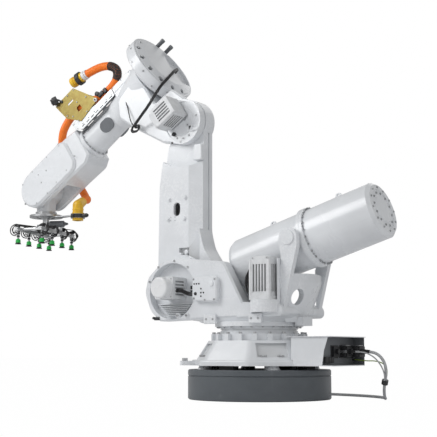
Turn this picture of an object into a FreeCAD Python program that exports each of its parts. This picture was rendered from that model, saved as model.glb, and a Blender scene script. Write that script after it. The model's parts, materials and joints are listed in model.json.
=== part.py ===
"""Six-axis handling robot with a spring balancer, a hose package and a vacuum gripper.

X points forward, Y to the robot's left, Z up. The origin is on the floor under the turning axis.
All sizes are in millimetres.
"""

import FreeCAD
import Part
import math
import os

from FreeCAD import Vector

os.makedirs("parts", exist_ok=True)

# Pedestal and base
pedestal_radius = 550.0
pedestal_height = 225.0
pedestal_wall = 16.0
levelling_gap = 30.0
foot_radius = 420.0
base_flange_flats = 500.0
base_top_flats = 375.0
base_flange_thickness = 42.0
base_cone_height = 145.0
base_wall = 24.0
lug_ring_radius = 372.0
lug_ring_height = 50.0
lug_count = 20
neck_radius = 300.0
neck_height = 56.0
reducer1_radius = 228.0

# Rear cable box, with the middle, half width and reach of each plug in it
box_front = -430.0
box_rear = -775.0
box_half_width = 258.0
box_height = 214.0
box_wall = 6.0
connector_places = ((-178.0, 44.0, 112.0), (-70.0, 44.0, 64.0), (60.0, 44.0, 26.0))
connector_half_height = 38.0
connector_above_base = 104.0

# Turning frame
slew_gap = 0.3
slew_radius = 342.0
slew_thickness = 38.0
axis2_x = 600.0
axis2_above_base = 630.0
cheek_inner = 236.0
cheek_outer = 330.0
belly_height = 50.0
deck_height = 145.0
hull_radius = 488.0
motor_side = 175.0
motor_flange_rim = 8.0
motor1_x = -254.0
motor1_y = 310.0
motor2_drop = 35.0
motor2_length = 178.0
motor_pocket_radius = 222.0
motor_pocket_drop = 54.0

# Lower arm
arm_length = 1332.0
arm_far = 20.0
arm_near = 195.0
arm_head_radius = 192.0
arm_boss_radius = 242.0
arm_boss_far = -130.0
arm_rear_offset = -168.0
arm_front_offset = 245.0
arm_wall = 26.0
recess_radius = 372.0
recess_depth = 55.0

# Balancer
balancer_angle = 16.7
pin_radius_from_axis = 240.0
pin_radius = 35.0
rod_radius = 36.0
rod_beyond_mouth = 430.0
eye_radius = 60.0
eye_half_width = 44.0
trunnion_distance = 1074.0
trunnion_radius = 45.0
mouth_before_trunnion = 604.0
flange_beyond_trunnion = 56.0
rear_tube_length = 615.0
balancer_radius = 215.0
balancer_wall = 16.0
mouth_radius = 100.0
flange_radius = 234.0
flange_thickness = 26.0
ear_inner = 240.0
ear_outer = 288.0
ear_radius = 74.0

# Upper arm and forearm
forearm_pitch = 34.0
forearm_offset = 629.5
wrist_distance = 1636.0
boss3_radius = 185.0
boss3_near = 206.0
boss3_gap = 0.3
drum_radius = 330.0
drum_rise = 44.0
drum_back = -12.0
drum_rim = 98.0
drum_neck = 52.0
axis4_housing_radius = 188.0
motor3_along = -75.0
motor3_rise = -542.0
motor3_length = 200.0
motor3_gap = 12.0
axis4_plane = 545.0
tube_radius = 122.0
tube_wall = 14.0
ring_radius = 150.0
ring_place = 935.0
ring_thickness = 30.0
wrist_half_height = 165.0
wrist_half_width = 148.0
cover_thickness = 26.0
fork_gap = 96.0
fork_start = 1345.0
tilt_radius = 118.0

# Tool
flange_drop = 196.0
turning_disc_radius = 150.0
turning_disc_thickness = 20.0
stem_length = 92.0
rail_turn = 18.0
rail_size = 30.0
cup_pitch = 205.0
cup_row_pitch = 232.0
cup_rows = 2
cups_in_row = 4
cup_radius = 24.0
holder_length = 72.0
cup_height = 34.0
lip_height = 12.0
swivel_reach = 392.0
elbow_rise = 35.0

# Hoses and cables
hose_radius = 36.0
tray_side = 156.0
tray_level = 160.0
floor_hose_radius = 11.0
signal_cable_radius = 5.0
harness_cable_radius = 4.5
earth_wire_radius = 4.0
coil_radius = 115.0
coil_turns_across = 4
coil_layers = 2

# Fits
running_fit = 0.05
seat_gap = 0.3

base_plane = pedestal_height + levelling_gap
connector_z = base_plane + connector_above_base
balancer_front = trunnion_distance - mouth_before_trunnion
balancer_flange = trunnion_distance + flange_beyond_trunnion
balancer_rear = balancer_flange + rear_tube_length
rod_end = balancer_front + rod_beyond_mouth
boss3_far = arm_near - recess_depth + boss3_gap
housing_start = drum_back + drum_rim + drum_neck + seat_gap
axis2_z = base_plane + axis2_above_base
axis3_z = axis2_z + arm_length
X_AXIS = Vector(1, 0, 0)
Y_AXIS = Vector(0, 1, 0)
Z_AXIS = Vector(0, 0, 1)

def unit(angle, plane="xz"):
    """Unit vector at an angle in degrees above X in the side plane, or from X towards Y in plan."""
    c = math.cos(math.radians(angle))
    s = math.sin(math.radians(angle))
    return Vector(c, 0, s) if plane == "xz" else Vector(c, s, 0)


class Frame:
    """A local frame: an origin and three unit directions."""

    def __init__(self, origin, along, up, side=Y_AXIS):
        self.origin, self.along, self.up, self.side = origin, along, up, side

    def at(self, s, t=0.0, y=0.0):
        return self.origin + self.along * s + self.up * t + self.side * y


side_frame = Frame(Vector(0, 0, 0), X_AXIS, Z_AXIS)
axis2 = Vector(axis2_x, 0, axis2_z)
axis3 = Vector(axis2_x, 0, axis3_z)
balancer = Frame(axis2, unit(180 - balancer_angle), unit(90 - balancer_angle))
forearm_up = unit(90 - forearm_pitch)
forearm = Frame(axis3 + forearm_up * forearm_offset, unit(-forearm_pitch), forearm_up)
wrist = forearm.at(wrist_distance)
trunnion = balancer.at(trunnion_distance)
pin = balancer.at(pin_radius_from_axis)
tool_top = wrist.z - flange_drop
disc_drop = 30.0
rail_drop = disc_drop + turning_disc_thickness + stem_length
cup_holder_top = tool_top - rail_drop - 2 * rail_size
cup_top = cup_holder_top - holder_length


def fuse(*shapes):
    """One solid from several that meet."""
    first = shapes[0]
    return first.multiFuse(list(shapes[1:])).removeSplitter() if len(shapes) > 1 else first


def group(shapes):
    """Several separate solids that share one node."""
    return Part.makeCompound(list(shapes))


def cylinder(radius, start, end):
    """A round bar between two points."""
    axis = end - start
    return Part.makeCylinder(radius, axis.Length, start, axis)


def tube(outer, inner, start, end):
    return cylinder(outer, start, end).cut(cylinder(inner, start, end))


def cone(r1, r2, start, end):
    axis = end - start
    return Part.makeCone(r1, r2, axis.Length, start, axis)


def rounded_wire(corners, radii):
    """A closed wire through the corners, each rounded to its radius where that isn't zero."""
    n = len(corners)
    cuts = []
    for i in range(n):
        p, before, after = corners[i], corners[i - 1], corners[(i + 1) % n]
        r = radii[i] if isinstance(radii, (list, tuple)) else radii
        to_before = (before - p).normalize()
        to_after = (after - p).normalize()
        if r <= 0:
            cuts.append((p, None, p))
            continue
        half = to_before.getAngle(to_after) / 2
        reach = r / math.tan(half)
        centre = p + (to_before + to_after).normalize() * (r / math.sin(half))
        middle = centre + (p - centre).normalize() * r
        cuts.append((p + to_before * reach, middle, p + to_after * reach))
    edges = []
    for i in range(n):
        start, middle, end = cuts[i]
        if middle is not None:
            edges.append(Part.Arc(start, middle, end).toShape())
        following = cuts[(i + 1) % n][0]
        if (following - end).Length > 0.01:
            edges.append(Part.LineSegment(end, following).toShape())
    return Part.Wire(edges)


def plate(points, radii, low, high, frame=side_frame):
    """A plate cut to an outline in the frame's side plane, from one side distance to another."""
    wire = rounded_wire([frame.at(s, t, low) for s, t in points], radii)
    return Part.Face(wire).extrude(frame.side * (high - low))


def slab(points, radii, low, high, bevel_low=0.0, bevel_high=0.0, frame=side_frame):
    """A plate whose rims are chamfered on either side."""
    shape = plate(points, radii, low, high, frame)
    for distance, level in ((bevel_low, low), (bevel_high, high)):
        if distance:
            rim = [
                e
                for e in shape.Edges
                if all(abs((v.Point - frame.origin).dot(frame.side) - level) < 0.01 for v in e.Vertexes)
            ]
            shape = shape.makeChamfer(distance, rim)
    return shape


def box(low, high):
    return Part.makeBox(*(high - low), low)


def ring_of(shape, count, centre, axis, start=0.0, sweep=360.0):
    """Copies of a shape spaced evenly round an axis."""
    step = sweep / count if abs(sweep) >= 360 else sweep / (count - 1)
    copies = []
    for i in range(count):
        copy = shape.copy()
        copy.rotate(centre, axis, start + i * step)
        copies.append(copy)
    return copies


def bolt(head_radius, head_height, seat, direction, shank=0.0):
    """A hexagon head on its seat, with a shank into the seat where one is asked for."""
    sides = 6
    cross = Vector(direction.y, direction.z, direction.x).cross(direction).normalize()
    other = direction.cross(cross)
    corners = []
    for i in range(sides):
        a = 2 * math.pi * i / sides
        corners.append(seat + cross * (head_radius * math.cos(a)) + other * (head_radius * math.sin(a)))
    head = Part.Face(Part.makePolygon(corners + corners[:1])).extrude(direction * head_height)
    return fuse(head, cylinder(head_radius / 2, seat - direction * shank, seat)) if shank else head


def bent_tube(points, radius):
    """A cord or hose along straight runs joined by tangent arcs, as large as the runs allow."""
    n = len(points)
    runs = [(points[i + 1] - points[i]).Length for i in range(n - 1)]
    edges = []
    last = points[0]
    for i in range(1, n - 1):
        before = (points[i - 1] - points[i]).normalize()
        after = (points[i + 1] - points[i]).normalize()
        turn = math.pi - before.getAngle(after)
        reach = 0.45 * min(runs[i - 1], runs[i])
        arc_radius = reach / math.tan(turn / 2)
        start, end = points[i] + before * reach, points[i] + after * reach
        bisector = (before + after).normalize()
        centre = points[i] + bisector * (arc_radius / math.cos(turn / 2))
        middle = centre - bisector * arc_radius
        edges.append(Part.LineSegment(last, start).toShape())
        edges.append(Part.Arc(start, middle, end).toShape())
        last = end
    edges.append(Part.LineSegment(last, points[-1]).toShape())
    path = Part.Wire(edges)
    direction = (points[1] - points[0]).normalize()
    section = Part.Wire([Part.makeCircle(radius, points[0], direction)])
    return path.makePipeShell([section], True, False)


def pedestal():
    """The round stand: a welded drum with a stepped rim and a closed bottom."""
    r, h, w = pedestal_radius, pedestal_height, pedestal_wall
    rim = 46.0
    groove = 5.0
    chamfer = 8.0
    outline = [
        (0, 0), (r - chamfer, 0), (r, chamfer), (r, h - rim - groove), (r - groove, h - rim - groove / 2),
        (r - groove, h - rim), (r, h - rim + groove), (r, h - chamfer), (r - chamfer, h), (0, h),
        (0, h - 2 * w), (r - 2 * w, h - 2 * w), (r - 2 * w, w), (0, w),
    ]
    points = [Vector(x, 0, z) for x, z in outline]
    return Part.Face(Part.makePolygon(points + points[:1])).revolve(Vector(), Z_AXIS, 360)


def levelling_pads():
    """Four coned pads between the stand and the corners of the base."""
    foot = unit(45, "xy") * foot_radius
    low = Vector(foot.x, foot.y, pedestal_height)
    high = Vector(foot.x, foot.y, base_plane)
    return group(ring_of(cone(62, 48, low, high), 4, Vector(), Z_AXIS))


def packing_blocks():
    """Black blocks that carry the base between the pads."""
    half_x, half_y = 36.0, 62.0
    block = box(
        Vector(foot_radius - half_x, -half_y, pedestal_height),
        Vector(foot_radius + half_x, half_y, base_plane),
    )
    inner = box(Vector(300, -30, pedestal_height), Vector(340, 30, base_plane))
    return group(ring_of(block, 4, Vector(), Z_AXIS) + ring_of(inner, 4, Vector(), Z_AXIS, 45))


def octagon(flats, z, turn=22.5):
    """The corners of an octagon of the given distance over the centre to each flat."""
    corner = flats / math.cos(math.radians(22.5))
    return [unit(turn + 45 * i, "xy") * corner + Vector(0, 0, z) for i in range(8)]


def base_casting():
    """Eight-sided foot that tapers to a ring of bolt towers, hollow inside."""
    bottom = base_plane
    flange_top = bottom + base_flange_thickness
    cone_top = flange_top + base_cone_height
    lug_top = cone_top + lug_ring_height
    edge = 14.0
    corner_round = 60.0
    low = rounded_wire(octagon(base_flange_flats, bottom), corner_round)
    flange = Part.Face(low).extrude(Vector(0, 0, base_flange_thickness))
    rims = [e for e in flange.Edges if all(abs(v.Z - flange_top) < 0.01 for v in e.Vertexes)]
    flange = flange.makeFillet(edge, rims)
    foot = rounded_wire(octagon(base_flange_flats - 2 * edge, flange_top - edge), corner_round)
    top = rounded_wire(octagon(base_top_flats, cone_top), corner_round)
    body = Part.makeLoft([foot, top], True, True)
    top_disc = cylinder(lug_ring_radius - 34, Vector(0, 0, cone_top - 1), Vector(0, 0, lug_top))
    body = fuse(flange, body, top_disc)
    tab = plate_in_plan([(400, -70), (612, -58), (612, 58), (400, 70)], 26, bottom, bottom + 34)
    tabs = ring_of(tab, 2, Vector(), Z_AXIS, 36, -72)
    body = fuse(body, *tabs)
    tower = box(Vector(lug_ring_radius - 60, -17, cone_top - 30), Vector(lug_ring_radius, 17, lug_top))
    body = fuse(body, *ring_of(tower, lug_count, Vector(), Z_AXIS, 9))
    inner = base_wall * 3
    cavity_low = rounded_wire(octagon(base_flange_flats - inner, bottom - 1), corner_round)
    cavity_top = rounded_wire(octagon(base_top_flats - inner, cone_top - base_wall), corner_round)
    body = body.cut(Part.makeLoft([cavity_low, cavity_top], True, True))
    body = body.cut(cylinder(reducer1_radius, Vector(0, 0, cone_top - 60), Vector(0, 0, lug_top + 1)))
    for angle in (135, -135, 45, -45):
        body = body.cut(side_pocket(angle, flange_top, cone_top))
    return body


def plate_in_plan(points, radii, low, high):
    """A flat plate cut to an outline seen from above."""
    wire = rounded_wire([Vector(x, y, low) for x, y in points], radii)
    return Part.Face(wire).extrude(Vector(0, 0, high - low))


def side_pocket(angle, low, high):
    """The shallow recess in a slanting face of the base."""
    half = 118.0
    depth = 24.0
    r_low = base_flange_flats - 28 - depth
    r_high = base_top_flats - depth
    a, b = low + 22, high - 22
    lean = (r_high - r_low) / (high - low)
    near_low = r_low + lean * (a - low)
    near_high = r_low + lean * (b - low)
    profile = [(near_low, a), (near_low + 90, a), (near_low + 90, b), (near_high, b)]
    wire = Part.makePolygon([Vector(x, -half, z) for x, z in profile + profile[:1]])
    cutter = Part.Face(wire).extrude(Vector(0, 2 * half, 0))
    cutter.rotate(Vector(), Z_AXIS, angle)
    return cutter


base_lug_top = base_plane + base_flange_thickness + base_cone_height + lug_ring_height
neck_top = base_lug_top + neck_height
turret_bottom = neck_top + slew_gap
slew_top = turret_bottom + slew_thickness


def base_bolts():
    """Bolts in the towers of the base and in its front tabs."""
    radius = lug_ring_radius - 17
    head = bolt(13, 14, Vector(radius, 0, base_lug_top), Z_AXIS)
    tabs = [
        bolt(24, 22, unit(a, "xy") * 575 + Vector(0, 0, base_plane + 34), Z_AXIS) for a in (36, -36)
    ]
    return group(ring_of(head, lug_count, Vector(), Z_AXIS, 9) + tabs)


def axis1_reducer():
    """The gear unit that stands in the base and carries the frame on its neck."""
    low = base_lug_top - 80
    body = cylinder(reducer1_radius - running_fit, Vector(0, 0, low), Vector(0, 0, base_lug_top))
    neck = cylinder(neck_radius, Vector(0, 0, base_lug_top), Vector(0, 0, neck_top))
    groove = tube(neck_radius + 1, neck_radius - 9, Vector(0, 0, neck_top - 30), Vector(0, 0, neck_top - 20))
    bore = cylinder(90, Vector(0, 0, low - 1), Vector(0, 0, neck_top + 1))
    return fuse(body, neck).cut(groove).cut(bore)


def cable_box():
    """Sheet housing behind the base, open at its rear end."""
    low, high = base_plane, base_plane + box_height
    w = box_wall
    outer = plate_in_plan(
        [(box_front, -box_half_width), (box_front, box_half_width),
         (box_rear, box_half_width), (box_rear, -box_half_width)], 14, low, high)
    inner = box(
        Vector(box_rear - 30, -box_half_width + w, low + w),
        Vector(box_front - w, box_half_width - w, high - w),
    )
    lip = 14.0
    rim_outer = box(
        Vector(box_rear, -box_half_width - lip, high - 4), Vector(box_front + 20, box_half_width + lip, high)
    )
    edge = 0.6
    foot = Part.Face(rounded_wire(octagon(base_flange_flats + edge, low - 1), 60)).extrude(
        Vector(0, 0, base_flange_thickness + 1 + edge))
    slope = Part.makeLoft([
        rounded_wire(octagon(base_flange_flats + edge, low), 60),
        rounded_wire(
            octagon(base_top_flats + edge + 20, low + base_flange_thickness + base_cone_height), 60),
    ], True, True)
    near_cut = plate(
        [(box_rear - 1, low + w), (-690, low + w), (-704, low + 110), (-738, high - w),
        (box_rear - 1, high - w)], 0,
        box_half_width - w - 1, box_half_width + 1)
    shell = fuse(outer, rim_outer).cut(inner).cut([foot, slope, near_cut])
    return max(shell.Solids, key=lambda solid: solid.Volume)


def connector_panel():
    """The plate inside the box that holds the plugs, with three cut-outs."""
    x = box_rear + 95
    low, high = base_plane + box_wall, base_plane + box_height - box_wall
    side = box_half_width - box_wall
    panel = box(Vector(x, -side, low), Vector(x + 8, side, high))
    h = connector_half_height
    for y, half, _ in connector_places:
        panel = panel.cut(
            box(Vector(x - 1, y - half, connector_z - h), Vector(x + 9, y + half, connector_z + h))
        )
    return panel


def panel_connectors():
    """Rectangular plug housings set through the panel."""
    x = box_rear + 95
    h = connector_half_height
    shapes = []
    for y, half, reach in connector_places:
        body = box(Vector(x - reach, y - half, connector_z - h), Vector(x + 30, y + half, connector_z + h))
        body = fuse(
            body, cylinder(19, Vector(x - reach, y, connector_z), Vector(x - reach - 20, y, connector_z))
        )
        rim = 8
        flange = box(
            Vector(x - rim, y - half - rim, connector_z - h - rim),
            Vector(x, y + half + rim, connector_z + h + rim),
        )
        shapes.append(fuse(body, flange))
    return group(shapes)


def frame_casting():
    """The turning frame: two cheeks on a belly, a motor deck and the rear fork."""
    floor = slew_top
    disc = cylinder(slew_radius, Vector(0, 0, turret_bottom), Vector(0, 0, floor))
    low_wire = plan_wire(-330, 345, 296, 280, floor - 12)
    high_wire = plan_wire(-400, 735, cheek_outer, 150, floor + belly_height)
    belly = Part.makeLoft([low_wire, high_wire], True, True)
    cheek_line = [
        (112, axis2_z + 158), (540, axis2_z + 204), (705, axis2_z + 184), (850, axis2_z + 62),
        (878, axis2_z - 60), (820, axis2_z - 205), (726, axis2_z - 290), (-70, floor + 30),
        (-70, floor + deck_height - 20),
    ]
    rounds = [70, 150, 120, 90, 120, 120, 60, 0, 30]
    near = slab(cheek_line, rounds, cheek_inner, cheek_outer, 0, 14)
    far = slab(cheek_line, rounds, -cheek_outer, -cheek_inner, 14, 0)
    deck = slab(
        [(0, floor + 20), (0, floor + deck_height), (-400, floor + deck_height - 16), (-400, floor + 30)],
        [0, 20, 60, 40], -cheek_outer, cheek_outer, 12, 12)
    pad = cylinder(116, Vector(motor1_x, motor1_y, floor + 60), Vector(motor1_x, motor1_y, motor1_seat))
    shapes = [disc, belly, near, far, deck, pad, rear_hull(), fork_ear(1), fork_ear(-1)]
    bearing = cylinder(150, axis2 + Y_AXIS * (-cheek_inner - 5), axis2 + Y_AXIS * (arm_boss_far - seat_gap))
    body = fuse(*shapes, bearing)
    pocket_centre = Vector(axis2_x, 0, axis2_z - motor_pocket_drop)
    floor_y = cheek_inner + 22
    pocket = cylinder(
        motor_pocket_radius, pocket_centre + Y_AXIS * floor_y, pocket_centre + Y_AXIS * (cheek_outer + 1)
    )
    body = body.cut(pocket)
    shaft = motor2_centre
    body = body.cut(cylinder(62, shaft + Y_AXIS * (cheek_inner - 1), shaft + Y_AXIS * (floor_y + 1)))
    hollow = cylinder(230, Vector(0, 0, turret_bottom - 1), Vector(0, 0, floor + 30))
    room = motor_side / 2 + motor_flange_rim + 4
    seat = Vector(motor1_x, motor1_y, motor1_seat)
    motor_room = box(seat - Vector(room, room, 0), seat + Vector(room, room, 400))
    return body.cut([hollow, motor_room])


def plan_wire(x_low, x_high, half, radius, z):
    corners = [(x_low, -half), (x_high, -half), (x_high, half), (x_low, half)]
    return rounded_wire([Vector(x, y, z) for x, y in corners], radius)


motor1_seat = slew_top + deck_height + 6
motor2_centre = Vector(axis2_x, 0, axis2_z - motor2_drop)
hull_top = slew_top + 285.0


def rear_hull():
    """The rounded tail of the frame, scooped out round the balancer, with a round opening and a foot."""
    low, rim, high = slew_top - 10, hull_top, slew_top + 410
    outer = fuse(
        cone(378, hull_radius, Vector(0, 0, low), Vector(0, 0, rim)),
        cylinder(hull_radius, Vector(0, 0, rim), Vector(0, 0, high)),
    )
    inner = fuse(
        cone(330, hull_radius - 44, Vector(0, 0, low + 60), Vector(0, 0, rim)),
        cylinder(hull_radius - 44, Vector(0, 0, rim), Vector(0, 0, high)),
    )
    keep = box(Vector(-560, -ear_outer, low), Vector(-340, ear_outer, high))
    body = outer.common(keep).cut(inner)
    scoop = cylinder(
        flange_radius + 28, trunnion - Y_AXIS * (ear_inner - 2), trunnion + Y_AXIS * (ear_inner - 2)
    )
    middle = unit(180 - 17.5, "xy")
    centre = middle * 430 + Vector(0, 0, slew_top + 176)
    hole = cylinder(60, centre - middle * 80, centre + middle * 80)
    foot = box(Vector(-432, -70, turret_bottom + 4), Vector(-362, 70, slew_top + 30))
    return fuse(body.cut([scoop, hole]), foot)


def fork_ear(side):
    """One wide arm of the rear fork, which rises round the balancer to its trunnion."""
    x, z = trunnion.x, trunnion.z
    r = ear_radius
    outline = [
        (-372, slew_top + 40), (-372, z - 130), (x + r, z - 40), (x + r, z + r), (x - r, z + r),
        (x - r - 6, z - 60), (x - 24, slew_top + 330), (-400, slew_top + 120), (-390, slew_top + 40),
    ]
    rounds = [0, 100, 60, r - 2, r - 2, 120, 100, 60, 0]
    low, high = sorted((side * ear_inner, side * ear_outer))
    arm = plate(outline, rounds, low, high)
    bore = cylinder(
        trunnion_radius + running_fit, trunnion + Y_AXIS * (side * 200), trunnion + Y_AXIS * (side * 300)
    )
    return arm.cut(bore)


def frame_covers():
    """Covers on the turning frame: the wiring box, two trunnion caps and two small bosses."""
    x0, x1, z0, z1 = 142, 374, axis2_z - 152, axis2_z + 46
    shapes = [slab([(x0, z0), (x1, z0 + 12), (x1, z1), (x0, z1)], 34, cheek_outer, cheek_outer + 48, 0, 10)]
    for side in (1, -1):
        seat = trunnion + Y_AXIS * (side * ear_outer)
        shapes.append(cone(58, 54, seat, seat + Y_AXIS * (side * 10)))
    for x in (452, 536):
        seat = Vector(x, cheek_outer, axis2_z - 247)
        shapes.append(cone(22, 18, seat, seat + Y_AXIS * 12))
    return group(shapes)


def frame_bolts():
    """The bolt circle under the rim of the turning frame."""
    head = bolt(9, 10, Vector((slew_radius + neck_radius) / 2, 0, turret_bottom), Z_AXIS * -1)
    return group(ring_of(head, 24, Vector(), Z_AXIS, 7))


def stop_blocks():
    """Two bolted blocks on the near lower edge of the frame that limit its turn."""
    shapes = []
    for x in (225, -182):
        z = slew_top - 18
        low = Vector(x - 56, cheek_outer, z)
        block = box(low, low + Vector(112, 22, 72))
        shapes.append(block.makeChamfer(4, block.Edges))
    return group(shapes)


def motor_body(centre, axis, cross, length, side):
    """A square servo motor with corner posts and cooling ribs."""
    up = axis.cross(cross)
    frame = Frame(centre, cross, up, axis)
    h = side / 2
    body = plate([(-h, -h), (h, -h), (h, h), (-h, h)], 14, 0, length, frame)
    ribs = 5
    pitch = (side - 50) / ribs
    slots = []
    for i in range(ribs):
        a = -h + 25 + pitch * (i + 0.5)
        w = pitch * 0.28
        for sign in (1, -1):
            outer, inner = sign * (h + 1), sign * (h - 9)
            slots.append(plate(sorted_box(a - w, a + w, inner, outer), 0, 34, length - 34, frame))
            slots.append(plate(sorted_box(inner, outer, a - w, a + w), 0, 34, length - 34, frame))
    return body.cut(slots)


def sorted_box(a, b, c, d):
    a, b = sorted((a, b))
    c, d = sorted((c, d))
    return [(a, c), (b, c), (b, d), (a, d)]


def axis1_motor():
    """Upright motor of the turning axis, on its adapter flange."""
    seat = Vector(motor1_x, motor1_y, motor1_seat)
    h = motor_side / 2 + motor_flange_rim
    flange = plate_in_plan(
        [(motor1_x - h, motor1_y - h), (motor1_x + h, motor1_y - h),
         (motor1_x + h, motor1_y + h), (motor1_x - h, motor1_y + h)], 22, motor1_seat, motor1_seat + 26)
    length = 268.0
    body = motor_body(seat + Z_AXIS * 26, Z_AXIS, X_AXIS, length, motor_side)
    cap = motor_cap(seat + Z_AXIS * (26 + length), Z_AXIS, X_AXIS, motor_side)
    return group([fuse(flange, body), cap])


def motor_cap(centre, axis, cross, side):
    """The end box of a motor, with rounded corners."""
    frame = Frame(centre, cross, axis.cross(cross), axis)
    h = side / 2 - 6
    return slab([(-h, -h), (h, -h), (h, h), (-h, h)], 30, 0, 26, 0, 7, frame)


def axis2_motor():
    """Motor of the lower arm's axis, standing out of the near cheek's round pocket."""
    start = motor2_centre + Y_AXIS * (cheek_inner + 22)
    return fuse(
        motor_body(start, Y_AXIS, X_AXIS, motor2_length, motor_side),
        cylinder(60, start - Y_AXIS * 20, start + Y_AXIS * 2),
    )


def axis2_motor_cap():
    """The round pale end cover of the lower arm's motor."""
    start = motor2_centre + Y_AXIS * (cheek_inner + 22 + motor2_length)
    drum = cylinder(82, start, start + Y_AXIS * 72)
    outer = [e for e in drum.Edges if abs(e.CenterOfMass.y - (start.y + 72)) < 1 and e.Length > 100]
    return drum.makeFillet(16, outer)


def axis2_reducer():
    """Gear unit between the near cheek and the lower arm."""
    return cylinder(236, axis2 + Y_AXIS * (arm_near + 5 + seat_gap), axis2 + Y_AXIS * cheek_inner)


def lower_arm_casting():
    """The swinging column: boss, flared tail with the balancer fork, recessed head."""
    x, z2, z3 = axis2_x, axis2_z, axis3_z
    rear, front = x + arm_rear_offset, x + arm_front_offset
    column = [
        (rear, z3 + 40), (rear, z2 + 430), (x - 205, z2 + 290), (x - 286, z2 + 172), (x - 296, z2 + 90),
        (x - 190, z2 - 150), (x + 140, z2 - 200), (front, z2 + 60), (front - 8, z2 + 800),
        (front - 62, z3 - 150),
    ]
    rounds = [60, 300, 260, 60, 60, 90, 200, 120, 400, 120]
    body = plate(column, rounds, arm_far, arm_near)
    head = cylinder(arm_head_radius, axis3 + Y_AXIS * arm_far, axis3 + Y_AXIS * arm_near)
    boss = cylinder(arm_boss_radius, axis2 + Y_AXIS * arm_boss_far, axis2 + Y_AXIS * (arm_near + 5))
    body = fuse(body, head, boss)
    bevel = Part.Face(Part.makePolygon([
        Vector(rear - 1, arm_near + 1, z2 + 100), Vector(rear + 112, arm_near + 1, z2 + 100),
        Vector(rear - 1, arm_near - 46, z2 + 100), Vector(rear - 1, arm_near + 1, z2 + 100),
    ])).extrude(Vector(0, 0, arm_length))
    body = body.cut(bevel)
    groove = box(Vector(rear - 1, 62, z2 + 440), Vector(rear + 12, 76, z3 - 40))
    body = body.cut(groove)
    recess = cylinder(
        recess_radius, axis3 + Y_AXIS * (arm_near - recess_depth), axis3 + Y_AXIS * (arm_near + 20)
    )
    body = body.cut(recess)
    w = arm_wall
    cavity = plate(
        [(rear + 2 * w, z2 + 470), (front - 2 * w, z2 + 470), (front - 2 * w, z3 - 420),
        (rear + 2 * w, z3 - 420)],
        60, arm_far + w, arm_near - w)
    body = body.cut(cavity)
    oval = plate([(x + 26, z2 + 562), (x + 92, z2 + 562), (x + 92, z2 + 672), (x + 26, z2 + 672)], 32.9,
                 arm_near - 2 * w, arm_near + 1)
    body = body.cut(oval)
    ledge = box(Vector(x - 64, arm_near - 30, z2 + 212), Vector(x + 34, arm_near + 1, z2 + 300))
    body = body.cut(ledge)
    lugs = [clevis(45, arm_far + 65), clevis(-86, -45)]
    body = fuse(body, *lugs)
    clear = cylinder(
        eye_radius + 14, pin - Y_AXIS * (eye_half_width + 1), pin + Y_AXIS * (eye_half_width + 1)
    )
    slot = Part.makeBox(180, 2 * eye_half_width + 2, 2 * (eye_radius + 14))
    slot.translate(Vector(0, -eye_half_width - 1, -eye_radius - 14))
    slot.Placement = FreeCAD.Placement(
        pin, FreeCAD.Rotation(Vector(1, 0, 0), balancer.along)).multiply(slot.Placement)
    body = body.cut([clear, slot])
    bore = cylinder(pin_radius, pin - Y_AXIS * 120, pin + Y_AXIS * 120)
    return body.cut(bore)


def clevis(low, high):
    """One ear for the balancer pin, reaching back from the boss."""
    tip = pin_radius_from_axis + 66
    points = [(60, -170), (tip, -72), (tip, 72), (60, 170)]
    return plate(points, [0, 66, 66, 0], low, high, balancer)


def balancer_pin():
    """The pin that joins the rod's eye to the lower arm."""
    return cylinder(pin_radius - 0.02, pin - Y_AXIS * 86, pin + Y_AXIS * 112)


def arm_fittings():
    """The bolted stop bracket at the recess and four bolted bosses round the hand hole."""
    face = arm_near - recess_depth
    x, z = axis2_x - 132, axis3_z - 262
    outline = [(x - 44, z - 66), (x + 44, z - 66), (x + 30, z + 66), (x - 44, z + 66)]
    shapes = [slab(outline, 12, face, face + 46, 0, 6)]
    for dx, dz in ((135, 698), (-27, 704), (144, 537), (-18, 534)):
        seat = Vector(axis2_x + dx, arm_near, axis2_z + dz)
        shapes.append(fuse(cone(20, 16, seat, seat + Y_AXIS * 9), bolt(9, 7, seat + Y_AXIS * 9, Y_AXIS)))
    return group(shapes)


def balancer_housing():
    """Front half of the balancer: a tube with a domed mouth, a flange and the two trunnions."""
    b = balancer
    r, w = balancer_radius, balancer_wall
    f = balancer_front
    outline = [
        (f, mouth_radius), (f, r - 46), (f + 14, r - 15), (f + 46, r), (balancer_flange, r),
        (balancer_flange, flange_radius), (balancer_flange + flange_thickness, flange_radius),
        (balancer_flange + flange_thickness, r - w), (f + 50, r - w), (f + 28, r - 36),
        (f + 20, mouth_radius),
    ]
    points = [b.at(s, t) for s, t in outline]
    shell = Part.Face(Part.makePolygon(points + points[:1])).revolve(b.origin, b.along, 360)
    pins = []
    for side in (1, -1):
        pins.append(cylinder(
            trunnion_radius, trunnion + Y_AXIS * (side * (r - 10)),
            trunnion + Y_AXIS * (side * (ear_outer - 3)),
        ))
        pins.append(cylinder(
            72, trunnion + Y_AXIS * (side * (r - 26)), trunnion + Y_AXIS * (side * (ear_inner - 3))
        ))
    outside = shell_core(f + 60, balancer_flange, r - w)
    return fuse(shell, lifting_lug(trunnion_distance - 234), *[p.cut(outside) for p in pins])


def shell_core(start, end, radius):
    """The round space inside the balancer."""
    return cylinder(radius, balancer.at(start), balancer.at(end))


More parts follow.
